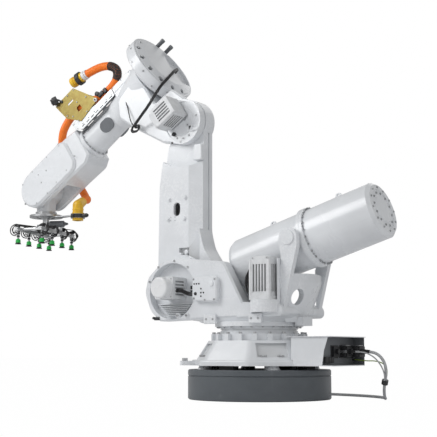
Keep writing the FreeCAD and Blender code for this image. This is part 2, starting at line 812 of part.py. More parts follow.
def balancer_tube():
    """Rear half of the balancer: a tube bolted to the flange, chamfered at its end."""
    b = balancer
    r, w = balancer_radius, balancer_wall
    start = balancer_flange + flange_thickness
    outline = [
        (start, r - w), (start, flange_radius - 2), (start + 24, flange_radius - 2), (start + 24, r),
        (balancer_rear - 26, r), (balancer_rear, r - 24), (balancer_rear, r - 62),
        (balancer_rear - 16, r - 62),
        (balancer_rear - 16, r - w),
    ]
    points = [b.at(s, t) for s, t in outline]
    shell = Part.Face(Part.makePolygon(points + points[:1])).revolve(b.origin, b.along, 360)
    return fuse(shell, lifting_lug(balancer_flange + rear_tube_length / 2))


def balancer_cover():
    """Round cover let into the rear end of the balancer."""
    b = balancer
    r = balancer_radius - 62
    cover = cylinder(r - 0.2, b.at(balancer_rear - 16), b.at(balancer_rear - 4))
    boss = cone(r - 44, r - 52, b.at(balancer_rear - 4), b.at(balancer_rear + 4))
    return fuse(cover, boss)


def balancer_bolts():
    """Bolts of the rear end and of the middle flange."""
    b = balancer
    back = bolt(8, 7, b.at(balancer_rear, balancer_radius - 44), b.along)
    middle_seat = balancer_flange + flange_thickness + 24
    middle = bolt(7, 8, b.at(middle_seat, flange_radius - 10), b.along)
    count = 12
    return group(ring_of(back, count, b.origin, b.along) + ring_of(middle, count, b.origin, b.along, 15))


def lifting_lug(s):
    """A lifting eye on top of the balancer."""
    seat = balancer.at(s, balancer_radius - 3)
    frame = Frame(seat, balancer.along, balancer.up)
    lug = plate([(-34, 0), (34, 0), (16, 34), (-16, 34)], [0, 0, 14, 14], -9, 9, frame)
    return lug.cut(cylinder(9, frame.at(0, 20, -10), frame.at(0, 20, 10)))


def balancer_rod():
    """The pull rod with its eye, and the spring seat on its inner end."""
    b = balancer
    eye = cylinder(eye_radius, pin - Y_AXIS * eye_half_width, pin + Y_AXIS * eye_half_width)
    rod = cylinder(rod_radius, pin, b.at(rod_end))
    seat = cylinder(120, b.at(rod_end - 30), b.at(rod_end))
    bore = cylinder(pin_radius + running_fit, pin - Y_AXIS * 60, pin + Y_AXIS * 60)
    return fuse(eye, rod, seat).cut(bore)


def upper_arm_casting():
    """Gear housing of the third axis, rising as a web to the round housing of the forearm axis."""
    f = forearm
    boss = cylinder(boss3_radius, axis3 + Y_AXIS * (boss3_far + 3), axis3 + Y_AXIS * boss3_near)
    hub = cylinder(150, axis3 + Y_AXIS * boss3_far, axis3 + Y_AXIS * (boss3_far + 4))
    start = housing_start
    web_points = [
        (-170, -640), (-120, -806), (60, -814), (255, -640), (392, -384), (500, -150),
        (430, 0), (start, 60), (start, -300), (48, -300), (-60, -310), (-110, -440),
    ]
    rounds = [80, 120, 160, 90, 60, 60, 60, 0, 20, 30, 30, 60]
    web = slab(web_points, rounds, boss3_far + 3, boss3_near - 12, 0, 16, f)
    inner_points = [
        (start, -300), (240, -410), (392, -350), (470, -150), (430, 0), (start, 60),
    ]
    inner_web = slab(inner_points, [0, 80, 60, 60, 40, 0], -120, boss3_far + 4, 16, 0, f)
    pad_low, pad_high = motor3_rise - 50, motor3_rise + 70
    pad = plate(
        sorted_box(motor3_along + 50, motor3_along + motor3_length - 20, pad_low, pad_high), 20,
        boss3_near - 40,
        boss3_near + motor3_gap - seat_gap, f)
    housing = cone(axis4_housing_radius + 34, axis4_housing_radius, f.at(start), f.at(300))
    nose = cone(axis4_housing_radius, 146, f.at(300), f.at(axis4_plane - seat_gap))
    body = fuse(boss, hub, web, inner_web, pad, housing, nose)
    bore = cylinder(92, f.at(start + 40), f.at(axis4_plane + 1))
    return body.cut(bore)


def axis3_cap():
    """Bolted gear cover on the face of the third axis, with its raised rim."""
    seat = axis3 + Y_AXIS * boss3_near
    rim = tube(boss3_radius, boss3_radius - 20, seat, seat + Y_AXIS * 8)
    disc = cone(118, 108, seat, seat + Y_AXIS * 10)
    h = motor_side / 2 + 4
    under_motor = plate(
        sorted_box(motor3_along - 4, motor3_along + motor3_length + 30, motor3_rise - h, motor3_rise + h), 0,
        boss3_near - 1, boss3_near + 20, forearm)
    return group([rim.cut(under_motor), disc.cut(under_motor)])


def axis3_motor():
    """Motor of the third axis, laid along the web on its near side, with its end box."""
    f = forearm
    start = f.at(motor3_along, motor3_rise, boss3_near + motor3_gap + motor_side / 2)
    body = motor_body(start, f.along, Y_AXIS, motor3_length, motor_side)
    cap = motor_cap(start + f.along * motor3_length, f.along, Y_AXIS, motor_side)
    return group([body, cap])


def axis4_drum():
    """The big round housing behind the forearm: a rimmed disc, its raised cover and a cable recess."""
    f = forearm
    c, r, back = drum_rise, drum_radius, drum_back
    front = back + drum_rim
    outline = [
        (back - 34, 0), (back - 34, r - 96), (back - 10, r - 26), (back - 2, r - 20), (back - 2, r - 3),
        (back + 4, r), (front - 8, r), (front, r - 8), (front, r - 34),
        (front + drum_neck, axis4_housing_radius + 30), (front + drum_neck, 0),
    ]
    points = [f.at(s, t + c) for s, t in outline]
    drum = Part.Face(Part.makePolygon(points + points[:1])).revolve(f.at(0, c), f.along, 360)
    dish = cylinder(r - 24, f.at(back - 60, c), f.at(back + 22, c))
    window = plate_on(
        f, [(-r, -150), (-92, -196), (-64, 0), (-92, 170), (-r, 130)], 44, back - 60, back + 30
    )
    seat = drum_bolt_seat()
    pockets = ring_of(cylinder(20, seat, seat - f.along * 60), 6, f.at(0, c), f.along, -62, -128)
    return drum.cut(dish.common(window)).cut(pockets)


def drum_bolt_seat():
    return forearm.at(drum_back - 4, drum_rise + drum_radius - 44)


def plate_on(frame, points, radii, start, end):
    """A plate cut to an outline across the frame's axis, given as side and height pairs."""
    wire = rounded_wire([frame.at(start, t + drum_rise, y) for y, t in points], radii)
    return Part.Face(wire).extrude(frame.along * (end - start))


def drum_fittings():
    """Bolts in the pockets of the drum's back and two grey hose studs at its top."""
    f = forearm
    centre = f.at(0, drum_rise)
    head = bolt(12, 12, drum_bolt_seat() - f.along * 0.1, f.along * -1)
    shapes = ring_of(head, 6, centre, f.along, -62, -128)
    drum = axis4_drum()
    for angle in (22, 40):
        seat = f.at(drum_back + 4, drum_rise + drum_radius - 26)
        top = seat - f.along * 76
        stud = fuse(cylinder(18, seat, top), cylinder(20, top, top - f.along * 20))
        stud.rotate(centre, f.along, angle)
        shapes.append(max(stud.cut(drum).Solids, key=lambda solid: solid.Volume))
    return group(shapes)


def slide_box():
    """White guide box of the hose package, on the near shoulder of the forearm housing."""
    f = forearm
    body = slab([(168, 34), (442, 24), (442, 166), (196, 166)], 14, 40, 160, 0, 8, f)
    core = cone(axis4_housing_radius + 34.3, axis4_housing_radius + 0.3, f.at(housing_start), f.at(300))
    nose = cone(axis4_housing_radius + 0.3, 146.3, f.at(300), f.at(axis4_plane))
    slot = plate(sorted_box(230, 425, 96, 108), 5, 156, 161, f)
    return max(body.cut([core, nose, slot]).Solids, key=lambda solid: solid.Volume)


def forearm_tube():
    """Turning forearm tube with its front flange."""
    f = forearm
    start, end = axis4_plane, ring_place
    body = fuse(
        cone(146, tube_radius, f.at(start), f.at(start + 60)),
        cone(tube_radius, tube_radius + 6, f.at(start + 60), f.at(end)),
        cylinder(ring_radius, f.at(end), f.at(end + ring_thickness)),
    )
    return body.cut(cylinder(tube_radius - tube_wall, f.at(start - 1), f.at(end + ring_thickness + 1)))


def forearm_pads():
    """Grey oval pads on either side of the forearm tube."""
    f = forearm
    shapes = []
    for side in (1, -1):
        low, high = sorted((side * (tube_radius - 22), side * (tube_radius + 7)))
        pad = plate([(606, -54), (750, -54), (750, 54), (606, 54)], 53, low, high, f)
        core = cone(tube_radius + 0.3, tube_radius + 6.3, f.at(axis4_plane + 60), f.at(ring_place))
        pad = pad.cut(core)
        pad.rotate(f.origin, f.along, side * -22)
        shapes.append(pad)
    place, direction = wrist_clamp
    top = place - f.up * (place - f.origin).dot(f.up) + f.up * (wrist_half_height + 0.3)
    post = cylinder(16, top, place - f.up * (hose_radius + 5))
    ring = tube(hose_radius + 12, hose_radius + 0.4, place - direction * 16, place + direction * 16)
    shapes.append(fuse(post, ring))
    return group(shapes)


def wrist_housing():
    """Fork-shaped wrist casting: a solid root and two side arms round the tilting head."""
    f = forearm
    start = ring_place + ring_thickness
    h, e = wrist_half_height, wrist_distance
    outline = [
        (start, -ring_radius + 6), (start + 70, -h - 26), (e - 150, -h - 8), (e + h, -h),
        (e + h, h), (start + 150, h), (start, ring_radius - 6),
    ]
    rounds = [0, 60, 60, h - 1, h - 1, 90, 0]
    body = slab(outline, rounds, -wrist_half_width, wrist_half_width, 16, 16, f)
    gap = plate([(fork_start, -300), (e + 300, -300), (e + 300, 300), (fork_start, 300)],
                [60, 0, 0, 60], -fork_gap, fork_gap, f)
    body = body.cut(gap)
    body = body.cut(cylinder(86, f.at(start - 1), f.at(fork_start + 1)))
    hole = cylinder(60 + running_fit, wrist - Y_AXIS * 300, wrist + Y_AXIS * 300)
    return body.cut(hole)


def wrist_covers():
    """Long rounded covers on both sides of the wrist."""
    f = forearm
    h, e = wrist_half_height, wrist_distance
    outline = [(1110, -h), (e + h, -h), (e + h, h), (1110, h)]
    shapes = []
    for side in (1, -1):
        low, high = sorted((side * wrist_half_width, side * (wrist_half_width + cover_thickness)))
        bevels = (0, 18) if side > 0 else (18, 0)
        shapes.append(slab(outline, [90, h - 1, h - 1, 90], low, high, *bevels, frame=f))
    return group(shapes)


def wrist_bolts():
    """Screws round the edge of the near wrist cover and bolts of the forearm flange."""
    f = forearm
    face = wrist_half_width + cover_thickness - 9
    h = wrist_half_height
    shapes = []
    for s in (1180, 1310, 1440, 1570):
        for t in (-h + 9, h - 9):
            shapes.append(bolt(6, 12, f.at(s, t, face - 8), Y_AXIS))
    ring = bolt(8, 8, f.at(ring_place, ring_radius - 11), f.along * -1)
    return group(ring_of(ring, 12, f.origin, f.along, 15))


def wrist_head():
    """The tilting head: a cross drum on two journals with the neck of the tool flange."""
    drum = cylinder(tilt_radius, wrist - Y_AXIS * (fork_gap - 1), wrist + Y_AXIS * (fork_gap - 1))
    journal = cylinder(60, wrist - Y_AXIS * (wrist_half_width - 1), wrist + Y_AXIS * (wrist_half_width - 1))
    neck = cone(96, 84, wrist - Z_AXIS * 60, wrist - Z_AXIS * (flange_drop - 0.3))
    return fuse(drum, journal, neck)


def below_tool(x, y, drop):
    """A point under the wrist, in tool coordinates."""
    return Vector(wrist.x + x, y, tool_top - drop)


def turning_disc():
    """Fixed ring round the tool flange, hung from the wrist head on a sleeve."""
    disc = tube(turning_disc_radius, 84, below_tool(0, 0, 30), below_tool(0, 0, 30 + turning_disc_thickness))
    sleeve = tube(96, 84, below_tool(0, 0, 0), below_tool(0, 0, 31))
    cut = ring_of(cylinder(8, below_tool(122, 0, 29), below_tool(122, 0, 52)), 8, wrist, Z_AXIS, 22.5)
    return fuse(disc, sleeve).cut(cut)


def swivel_arm():
    """The plate arm and split ring that hold the hose swivel beside the tool."""
    inner, outer = turning_disc_radius - 40, swivel_reach - 56
    low = tool_top - 30 - turning_disc_thickness - 10
    arm = plate_in_plan(
        [(wrist.x - outer, -22), (wrist.x - inner, -46), (wrist.x - inner, 46), (wrist.x - outer, 22)], 8,
        low, low + 10)
    centre = below_tool(-swivel_reach, 0, 0)
    ring = tube(62, 48.3, centre - Z_AXIS * 84, centre - Z_AXIS * 46)
    knob = cylinder(13, centre + Vector(-60, 0, -64), centre + Vector(-100, 0, -64))
    return fuse(arm, ring, knob)


def swivel_elbow():
    """Yellow hose swivel: a barrel in the ring and a neck leaning towards the hose."""
    centre = below_tool(-swivel_reach, 0, 0)
    base = centre + Z_AXIS * elbow_rise
    barrel = tube(48, 30, centre - Z_AXIS * 104, base)
    collar = tube(54, 30, centre - Z_AXIS * 45, centre - Z_AXIS * 34)
    ball = Part.makeSphere(48, base)
    neck = cone(48, hose_radius + 5, base, elbow_end)
    return fuse(barrel, collar, ball, neck)


elbow_lean = Vector(0.15, -0.85, 0.5).normalize()
elbow_end = below_tool(-swivel_reach, 0, -elbow_rise) + elbow_lean * 88


def gripper_stem():
    """Tool flange and stem inside the fixed ring."""
    top = 30 + turning_disc_thickness
    flange = cylinder(80, below_tool(0, 0, 0.3), below_tool(0, 0, top - 6))
    stem = cylinder(30, below_tool(0, 0, top - 6), below_tool(0, 0, top + stem_length))
    collar = cylinder(46, below_tool(0, 0, top - 6), below_tool(0, 0, top + 14))
    return fuse(flange, stem, collar)


def turned_in_plan(shape, angle):
    copy = shape.copy()
    copy.rotate(Vector(wrist.x, 0, 0), Z_AXIS, angle)
    return copy


def gripper_frame():
    """Stem with two long aluminium rails on a cross bar, which carry the cup holders."""
    half = cup_pitch * (cups_in_row - 1) / 2 + 40
    w = rail_size / 2
    z1 = tool_top - rail_drop
    cross_half = cup_row_pitch / 2 + 40
    cross = box(Vector(wrist.x - cross_half, -w, z1 - rail_size), Vector(wrist.x + cross_half, w, z1))
    shapes = [cross]
    for sign in (1, -1):
        x = wrist.x + sign * cup_row_pitch / 2
        rail = box(Vector(x - w, -half, z1 - 2 * rail_size), Vector(x + w, half, z1 - rail_size))
        middle = z1 - 1.5 * rail_size
        slot = box(Vector(x - w - 1, -half - 1, middle - 4), Vector(x - w + 8, half + 1, middle + 4))
        shapes.append(rail.cut(slot))
    return fuse(gripper_stem(), turned_in_plan(fuse(*shapes), rail_turn))


def cup_places():
    """Centres of the suction cups in plan, before the rails are turned."""
    places = []
    for row in range(cup_rows):
        for n in range(cups_in_row):
            x = wrist.x + (row - (cup_rows - 1) / 2) * cup_row_pitch
            y = (n - (cups_in_row - 1) / 2) * cup_pitch
            places.append((x, y))
    return places


def cup_holders():
    """Metal nipples between the rails and the cups."""
    shapes = []
    for x, y in cup_places():
        holder = fuse(
            cylinder(14, Vector(x, y, cup_holder_top), Vector(x, y, cup_holder_top - 20)),
            cylinder(9, Vector(x, y, cup_holder_top - 20), Vector(x, y, cup_top)),
        )
        shapes.append(turned_in_plan(holder, rail_turn))
    return group(shapes)


def suction_cups():
    """Green bellows of the suction cups."""
    shapes = []
    r = cup_radius
    for x, y in cup_places():
        profile = [
            (0, 0), (r * 0.55, 0), (r * 0.95, -10), (r * 0.8, -17), (r, -26), (r * 0.86, -cup_height),
            (0, -cup_height),
        ]
        points = [Vector(x + a, y, cup_top + b) for a, b in profile]
        cup = Part.Face(Part.makePolygon(points + points[:1])).revolve(Vector(x, y, 0), Z_AXIS, 360)
        shapes.append(turned_in_plan(cup, rail_turn))
    return group(shapes)


def cup_lips():
    """Black sealing lips, open below."""
    shapes = []
    for x, y in cup_places():
        top = Vector(x, y, cup_top - cup_height)
        low = top - Z_AXIS * lip_height
        lip = cone(cup_radius * 0.8, cup_radius * 1.2, top, low)
        lip = lip.cut(cone(cup_radius * 0.55, cup_radius * 1.08, top - Z_AXIS * 5, low))
        shapes.append(turned_in_plan(lip, rail_turn))
    return group(shapes)


def vacuum_unit():
    """Grey cylinder of the vacuum ejector, laid on the cross bar."""
    z = tool_top - rail_drop + 30.3
    start = Vector(wrist.x - 46, -8, z)
    end = start + unit(rail_turn + 186, "xy") * 130
    return fuse(cylinder(30, start, end), cone(20, 8, end, end + (end - start).normalize() * 40))


def hose_tray():
    """Zinc-coated tray that runs forward from the guide box beside the forearm."""
    f = forearm
    t = tray_level
    end = ring_place + ring_thickness - 8
    outline = [(446, 92), (880, 80), (end, 128), (end, 202), (930, 202), (650, t + 4), (446, t + 4)]
    near = plate(outline, [0, 20, 20, 6, 6, 60, 0], tray_side - 4, tray_side, f)
    base = plate(sorted_box(446, end, t, t + 4), 0, -84, tray_side - 2, f)
    nose = cone(axis4_housing_radius + 0.3, 146.3, f.at(300), f.at(axis4_plane))
    slots = [plate(sorted_box(560 + 130 * i, 640 + 130 * i, t - 1, t + 5), 0, 20, 36, f) for i in range(3)]
    shape = fuse(base, near).cut([nose] + slots)
    return max(shape.Solids, key=lambda solid: solid.Volume)


def hose_bracket():
    """Gold-chromated plate that carries the hose clamps."""
    f = forearm
    y = tray_side + 0.3
    body = plate([(602, 190), (773, 473), (1027, 474), (979, 285), (857, 150)], 12, y, y + 5, f)
    slot = plate(sorted_box(830, 902, 372, 390), 8, y - 1, y + 6, f)
    window = plate(sorted_box(788, 838, 242, 292), 10, y - 1, y + 6, f)
    return body.cut([slot, window])


hose_side = tray_side - 48.0
loop_points = [
    forearm.at(*place, hose_side)
    for place in (
        (692, 532), (546, 491), (426, 437), (346, 363), (322, 284), (372, 224), (478, 202),
        (600, 222), (708, 256),
    )
]
loop_end = loop_points[-1]
loop_along = (loop_end - loop_points[-2]).normalize()
upper_points = [loop_end + loop_along * 0.3, loop_end + loop_along * 166] + [
    forearm.at(*place) for place in ((1040, 318, 80), (1190, 300, 30), (1300, 275, -60))
]
upper_end = upper_points[-1]
upper_along = (upper_end - upper_points[-2]).normalize()
lower_points = [upper_end + upper_along * 0.3, upper_end + upper_along * 104] + [
    forearm.at(*place)
    for place in (
        (1440, 190, -215), (1468, 80, -272), (1475, -50, -288), (1455, -170, -262), (1425, -250, -205),
    )
] + [elbow_end + elbow_lean * 85, elbow_end]
clamp_spots = [(loop_points[0], (loop_points[0] - loop_points[1]).normalize()), (loop_end, loop_along)]
wrist_clamp = (upper_end, upper_along)


def hose_clamps():
    """Black split clamps that hold the hose to the bracket, and the end coupling."""
    shapes = []
    for place, direction in clamp_spots:
        shapes.append(tube(47.7, hose_radius + 0.4, place - direction * 17, place + direction * 17))
    place, direction = clamp_spots[0]
    far = place + direction * 60
    shapes.append(cylinder(46, far, far + direction * 30))
    return group(shapes)


def clamp_rings():
    """Yellow plastic collars on the hose beside the clamps."""
    shapes = []
    place, direction = clamp_spots[0]
    shapes.append(tube(44, hose_radius + 0.4, place - direction * 44, place - direction * 17.3))
    shapes.append(cylinder(42, place + direction * 17.3, place + direction * 60))
    place, direction = clamp_spots[1]
    shapes.append(tube(44, hose_radius + 0.4, place - direction * 40, place - direction * 17.3))
    return group(shapes)


def hose_loop():
    """The hose from the end coupling back round to the second clamp."""
    return bent_tube(loop_points, hose_radius)


def hose_upper():
    """The hose from the second clamp to the clamp on the wrist."""
    return bent_tube(upper_points, hose_radius)


def hose_lower():
    """The hose from the wrist clamp round the far side to the swivel."""
    return bent_tube(lower_points, hose_radius)


def side_by_side(points, radius, across, count):
    """Several cables laid beside each other."""
    middle = (count - 1) / 2
    spread = 2 * radius + 0.5
    return [bent_tube([p + across * ((i - middle) * spread) for p in points], radius) for i in range(count)]


def harness_cables():
    """The black bundle from the drum's recess to the clip under the forearm housing."""
    f = forearm
    places = ((0, 56, -200), (-60, 34, -162), (-92, -70, 0), (-80, -152, 110),
    (-54, -199, 170), (-31, -242, 230),
              (13, -299, 290), (144, -355, 310), (264, -368, 300), (372, -361, 262), (396, -350, 228),
              (392, -340, 196))
    return group(side_by_side([f.at(*p) for p in places], harness_cable_radius, f.up, 3))


def motor_cables():
    """Black cables of the first two motors."""
    face = motor1_x + motor_side / 2 + 0.1
    top = Vector(face, motor1_y, motor1_seat + 240)
    deck = slew_top + deck_height + 0.1
    places = (top, top + Vector(46, 0, 0), top + Vector(88, 0, -70), top + Vector(84, -4, -160),
              Vector(face + 46, motor1_y - 6, deck + 40), Vector(face + 46, motor1_y - 6, deck))
    first = bent_tube(places, 9)
    y0 = cheek_inner + motor2_length - 30
    start = Vector(motor2_centre.x - motor_side / 2 - 0.1, y0, motor2_centre.z - 20)
    end = Vector(374.1, cheek_outer + 26, axis2_z - 84)
    second_places = (start, start - X_AXIS * 36, end + X_AXIS * 40, end)
    second = side_by_side(second_places, 8, Z_AXIS, 2)
    return group([first] + second)


supply_points = [
    Vector(*p)
    for p in (
        (-812, -178, connector_z), (-880, -178, connector_z), (-941, -180, 325), (-975, -185, 264),
        (-976, -190, 190), (-950, -210, 115), (-922, -262, 50), (-896, -335, 11), (-850, -440, 11),
        (-750, -570, 11), (-580, -690, 11), (-365, -785, 11), (-120, -848, 11), (110, -871, 11),
    )
]
coil_centre = Vector(170, -725, 0)
coil_outer_turn = coil_radius + (coil_turns_across - 1) * floor_hose_radius
tail_end = coil_centre + Vector(coil_outer_turn, 140, floor_hose_radius)


def supply_hose():
    """Grey supply line from its connector to the floor and round behind the stand, and its tail."""
    run = bent_tube(supply_points, floor_hose_radius)
    tail = cylinder(floor_hose_radius, tail_end - Y_AXIS * 100, tail_end)
    coil = supply_coil()
    return group([outside_of(shape, coil) for shape in (run, tail)])


def outside_of(shape, other):
    """The largest piece of a shape that lies outside another."""
    return max(shape.cut(other).Solids, key=lambda solid: solid.Volume)


def supply_coil():
    """The rest of the supply line, wound in a flat ring behind the stand."""
    half = coil_turns_across * floor_hose_radius
    height = coil_layers * 2 * floor_hose_radius
    corners = [
        coil_centre + Vector(x, 0, z)
        for x, z in ((coil_radius - half, 0), (coil_radius + half, 0), (coil_radius + half, height),
                     (coil_radius - half, height))
    ]
    wire = rounded_wire(corners, floor_hose_radius * 0.9)
    return Part.Face(wire).revolve(coil_centre, Z_AXIS, 360)


def supply_plug():
    """Heavy rectangular connector at the end of the supply line, and the breakout sleeve near the floor."""
    start = tail_end + Y_AXIS * 0.1
    body = box(start + Vector(-30, 0, -floor_hose_radius), start + Vector(30, 96, 34))
    sleeve = tube(24, floor_hose_radius + 0.05, sleeve_top, sleeve_top + sleeve_along * 34)
    return group([body.makeChamfer(4, body.Edges), sleeve])


sleeve_along = (supply_points[5] - supply_points[4]).normalize()
sleeve_top = supply_points[4] + sleeve_along * 40
sleeve_side = sleeve_along.cross(X_AXIS).normalize()


def signal_cable():
    """Thin cable from the second connector to the breakout sleeve."""
    end = sleeve_top - sleeve_side * (floor_hose_radius + signal_cable_radius + 0.5)
    start = Vector(-764, -70, connector_z)
    points = [
        start, start - X_AXIS * 50, Vector(-866, -112, 350), Vector(-930, -150, 300),
        end - sleeve_along * 52, end - sleeve_along * 0.1,
    ]
    return bent_tube(points, signal_cable_radius)


def earth_wire():
    """Earth wire from the panel over the box's edge to the breakout sleeve."""
    end = sleeve_top + sleeve_side * (floor_hose_radius + earth_wire_radius + 3)
    start = Vector(box_rear + 95, -232, 300)
    points = [
        start, start - X_AXIS * 50, Vector(-800, -232, 290), Vector(-874, -230, 292),
        Vector(-940, -224, 274),
        end - sleeve_along * 80, end - sleeve_along * 0.1,
    ]
    return bent_tube(points, earth_wire_radius)


def gripper_tubes():
    """Looped black air tubes from the rails' middle out to the cups."""
    shapes = []
    z = tool_top - rail_drop - rail_size
    for x, y in cup_places():
        side = 1 if x > wrist.x else -1
        reach = 1 if y > 0 else -1
        inner = Vector(wrist.x + side * 40, reach * 15.1, z + 14)
        outer = Vector(x + side * 36, y - reach * 16, z + 34)
        end = Vector(x + side * 14.1, y, cup_holder_top - 12)
        points = [
            inner, inner + Vector(0, reach * 30, 0), inner + Vector(side * 24, reach * 50, 20), outer,
            end + Vector(side * 52, 0, 26), end + X_AXIS * (side * 36), end,
        ]
        shapes.append(turned_in_plan(bent_tube(points, 4), rail_turn))
    return group(shapes)


def build_all():
    """Make each sub-part once, by its node name."""
    makers = [
        pedestal, levelling_pads, packing_blocks, base_casting, base_bolts, axis1_reducer,
        cable_box, connector_panel, panel_connectors, supply_hose, supply_coil, supply_plug,
        signal_cable, earth_wire, frame_casting, frame_bolts, stop_blocks, frame_covers, axis1_motor,
        axis2_motor, axis2_motor_cap, axis2_reducer, motor_cables, lower_arm_casting, balancer_pin,
        arm_fittings, balancer_housing, balancer_tube, balancer_cover, balancer_bolts, balancer_rod,
        upper_arm_casting, axis3_cap, axis3_motor, axis4_drum, drum_fittings, slide_box,
        harness_cables, hose_tray, hose_bracket, hose_clamps, clamp_rings, hose_loop, hose_upper,
        forearm_tube, forearm_pads, wrist_housing, wrist_covers, wrist_bolts, hose_lower, wrist_head,
        turning_disc, swivel_arm, swivel_elbow, gripper_frame, cup_holders, suction_cups, cup_lips,
        vacuum_unit, gripper_tubes,
    ]
    for make in makers:
        make().exportStep("parts/%s.step" % make.__name__)


build_all()
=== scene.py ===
"""Looks of a six-axis handling robot.

Paint and metal finishes, hose package, cables, plugs, screws and the stage.
"""

import bpy
import bmesh
import json
import math
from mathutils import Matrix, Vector


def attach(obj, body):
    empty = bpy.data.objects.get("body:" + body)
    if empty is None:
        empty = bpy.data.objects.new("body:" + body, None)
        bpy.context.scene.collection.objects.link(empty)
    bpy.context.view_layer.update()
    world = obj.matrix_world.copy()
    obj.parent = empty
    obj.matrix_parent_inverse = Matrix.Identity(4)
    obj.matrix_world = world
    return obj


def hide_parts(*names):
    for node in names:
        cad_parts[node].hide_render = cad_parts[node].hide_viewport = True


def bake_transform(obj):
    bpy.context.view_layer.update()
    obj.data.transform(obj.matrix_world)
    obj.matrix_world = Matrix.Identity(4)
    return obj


bl_info = {
    "name": "Handling robot looks",
    "version": (1, 0, 0),
    "blender": (4, 5, 0),
    "location": "View3D > Sidebar > Robot",
    "description": "Finishes and fittings of a six-axis handling robot",
    "category": "Object",
}

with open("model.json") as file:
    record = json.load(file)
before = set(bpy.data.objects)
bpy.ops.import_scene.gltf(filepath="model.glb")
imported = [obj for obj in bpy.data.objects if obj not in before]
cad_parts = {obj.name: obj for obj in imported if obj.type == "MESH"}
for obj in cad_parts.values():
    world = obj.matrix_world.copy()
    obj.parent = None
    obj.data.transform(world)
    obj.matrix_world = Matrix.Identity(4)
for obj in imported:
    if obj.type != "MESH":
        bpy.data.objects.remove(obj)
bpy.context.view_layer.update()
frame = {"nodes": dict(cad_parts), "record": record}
NODES = frame["nodes"]

X = Vector((1, 0, 0))
Y = Vector((0, 1, 0))
Z = Vector((0, 0, 1))


class Side:
    """A line in the robot's side plane: an origin, its direction and the direction across it."""

    def __init__(self, origin, angle):
        a = math.radians(angle)
        across = a + math.pi / 2
        self.origin = Vector(origin)
        self.along = Vector((math.cos(a), 0, math.sin(a)))
        self.up = Vector((math.cos(across), 0, math.sin(across)))

    def at(self, s, t=0.0, y=0.0):
        return self.origin + self.along * s + self.up * t + Y * y


# Where the axes of the robot lie, in metres and degrees

AXIS_2 = Vector((0.600, 0, 0.885))
AXIS_3 = Vector((0.600, 0, 2.217))
FOREARM_PITCH = 34.0
FOREARM_OFFSET = 0.6295
WRIST_DISTANCE = 1.636
TOOL_DROP = 0.196
BALANCER_PITCH = 16.7

forearm = Side(AXIS_3, -FOREARM_PITCH)
forearm.origin = AXIS_3 + forearm.up * FOREARM_OFFSET
WRIST = forearm.at(WRIST_DISTANCE)
balancer = Side(AXIS_2, 180 - BALANCER_PITCH)
balancer.up = -balancer.up
TOOL_TOP = WRIST.z - TOOL_DROP
FOREARM_AXES = (forearm.along, Y, forearm.up)


# Shader maths


class Value:
    """A number or colour on a shader socket, which takes part in Python arithmetic."""

    def __init__(self, tree, socket):
        self.tree = tree
        self.socket = socket

    def maths(self, operation, *inputs):
        settings = {"operation": operation}
        return self.tree.node("ShaderNodeMath", settings, dict(enumerate(inputs)))[0]

    def __add__(self, other):
        return self.maths("ADD", self, other)

    __radd__ = __add__

    def __sub__(self, other):
        return self.maths("SUBTRACT", self, other)

    def __rsub__(self, other):
        return self.maths("SUBTRACT", other, self)

    def __mul__(self, other):
        return self.maths("MULTIPLY", self, other)

    __rmul__ = __mul__

    def clamped(self):
        return self.tree.node("ShaderNodeClamp", {}, {"Value": self})[0]

    def between(self, low, high):
        """0 below low, 1 above high and smooth between them."""
        settings = {"interpolation_type": "SMOOTHSTEP"}
        inputs = {"Value": self, "From Min": low, "From Max": high}
        return self.tree.node("ShaderNodeMapRange", settings, inputs)["Result"]


class Outputs:
    """The outputs of one shader node, by name or place."""

    def __init__(self, tree, node):
        self.tree, self.node = tree, node

    def __getitem__(self, key):
        return Value(self.tree, self.node.outputs[key])


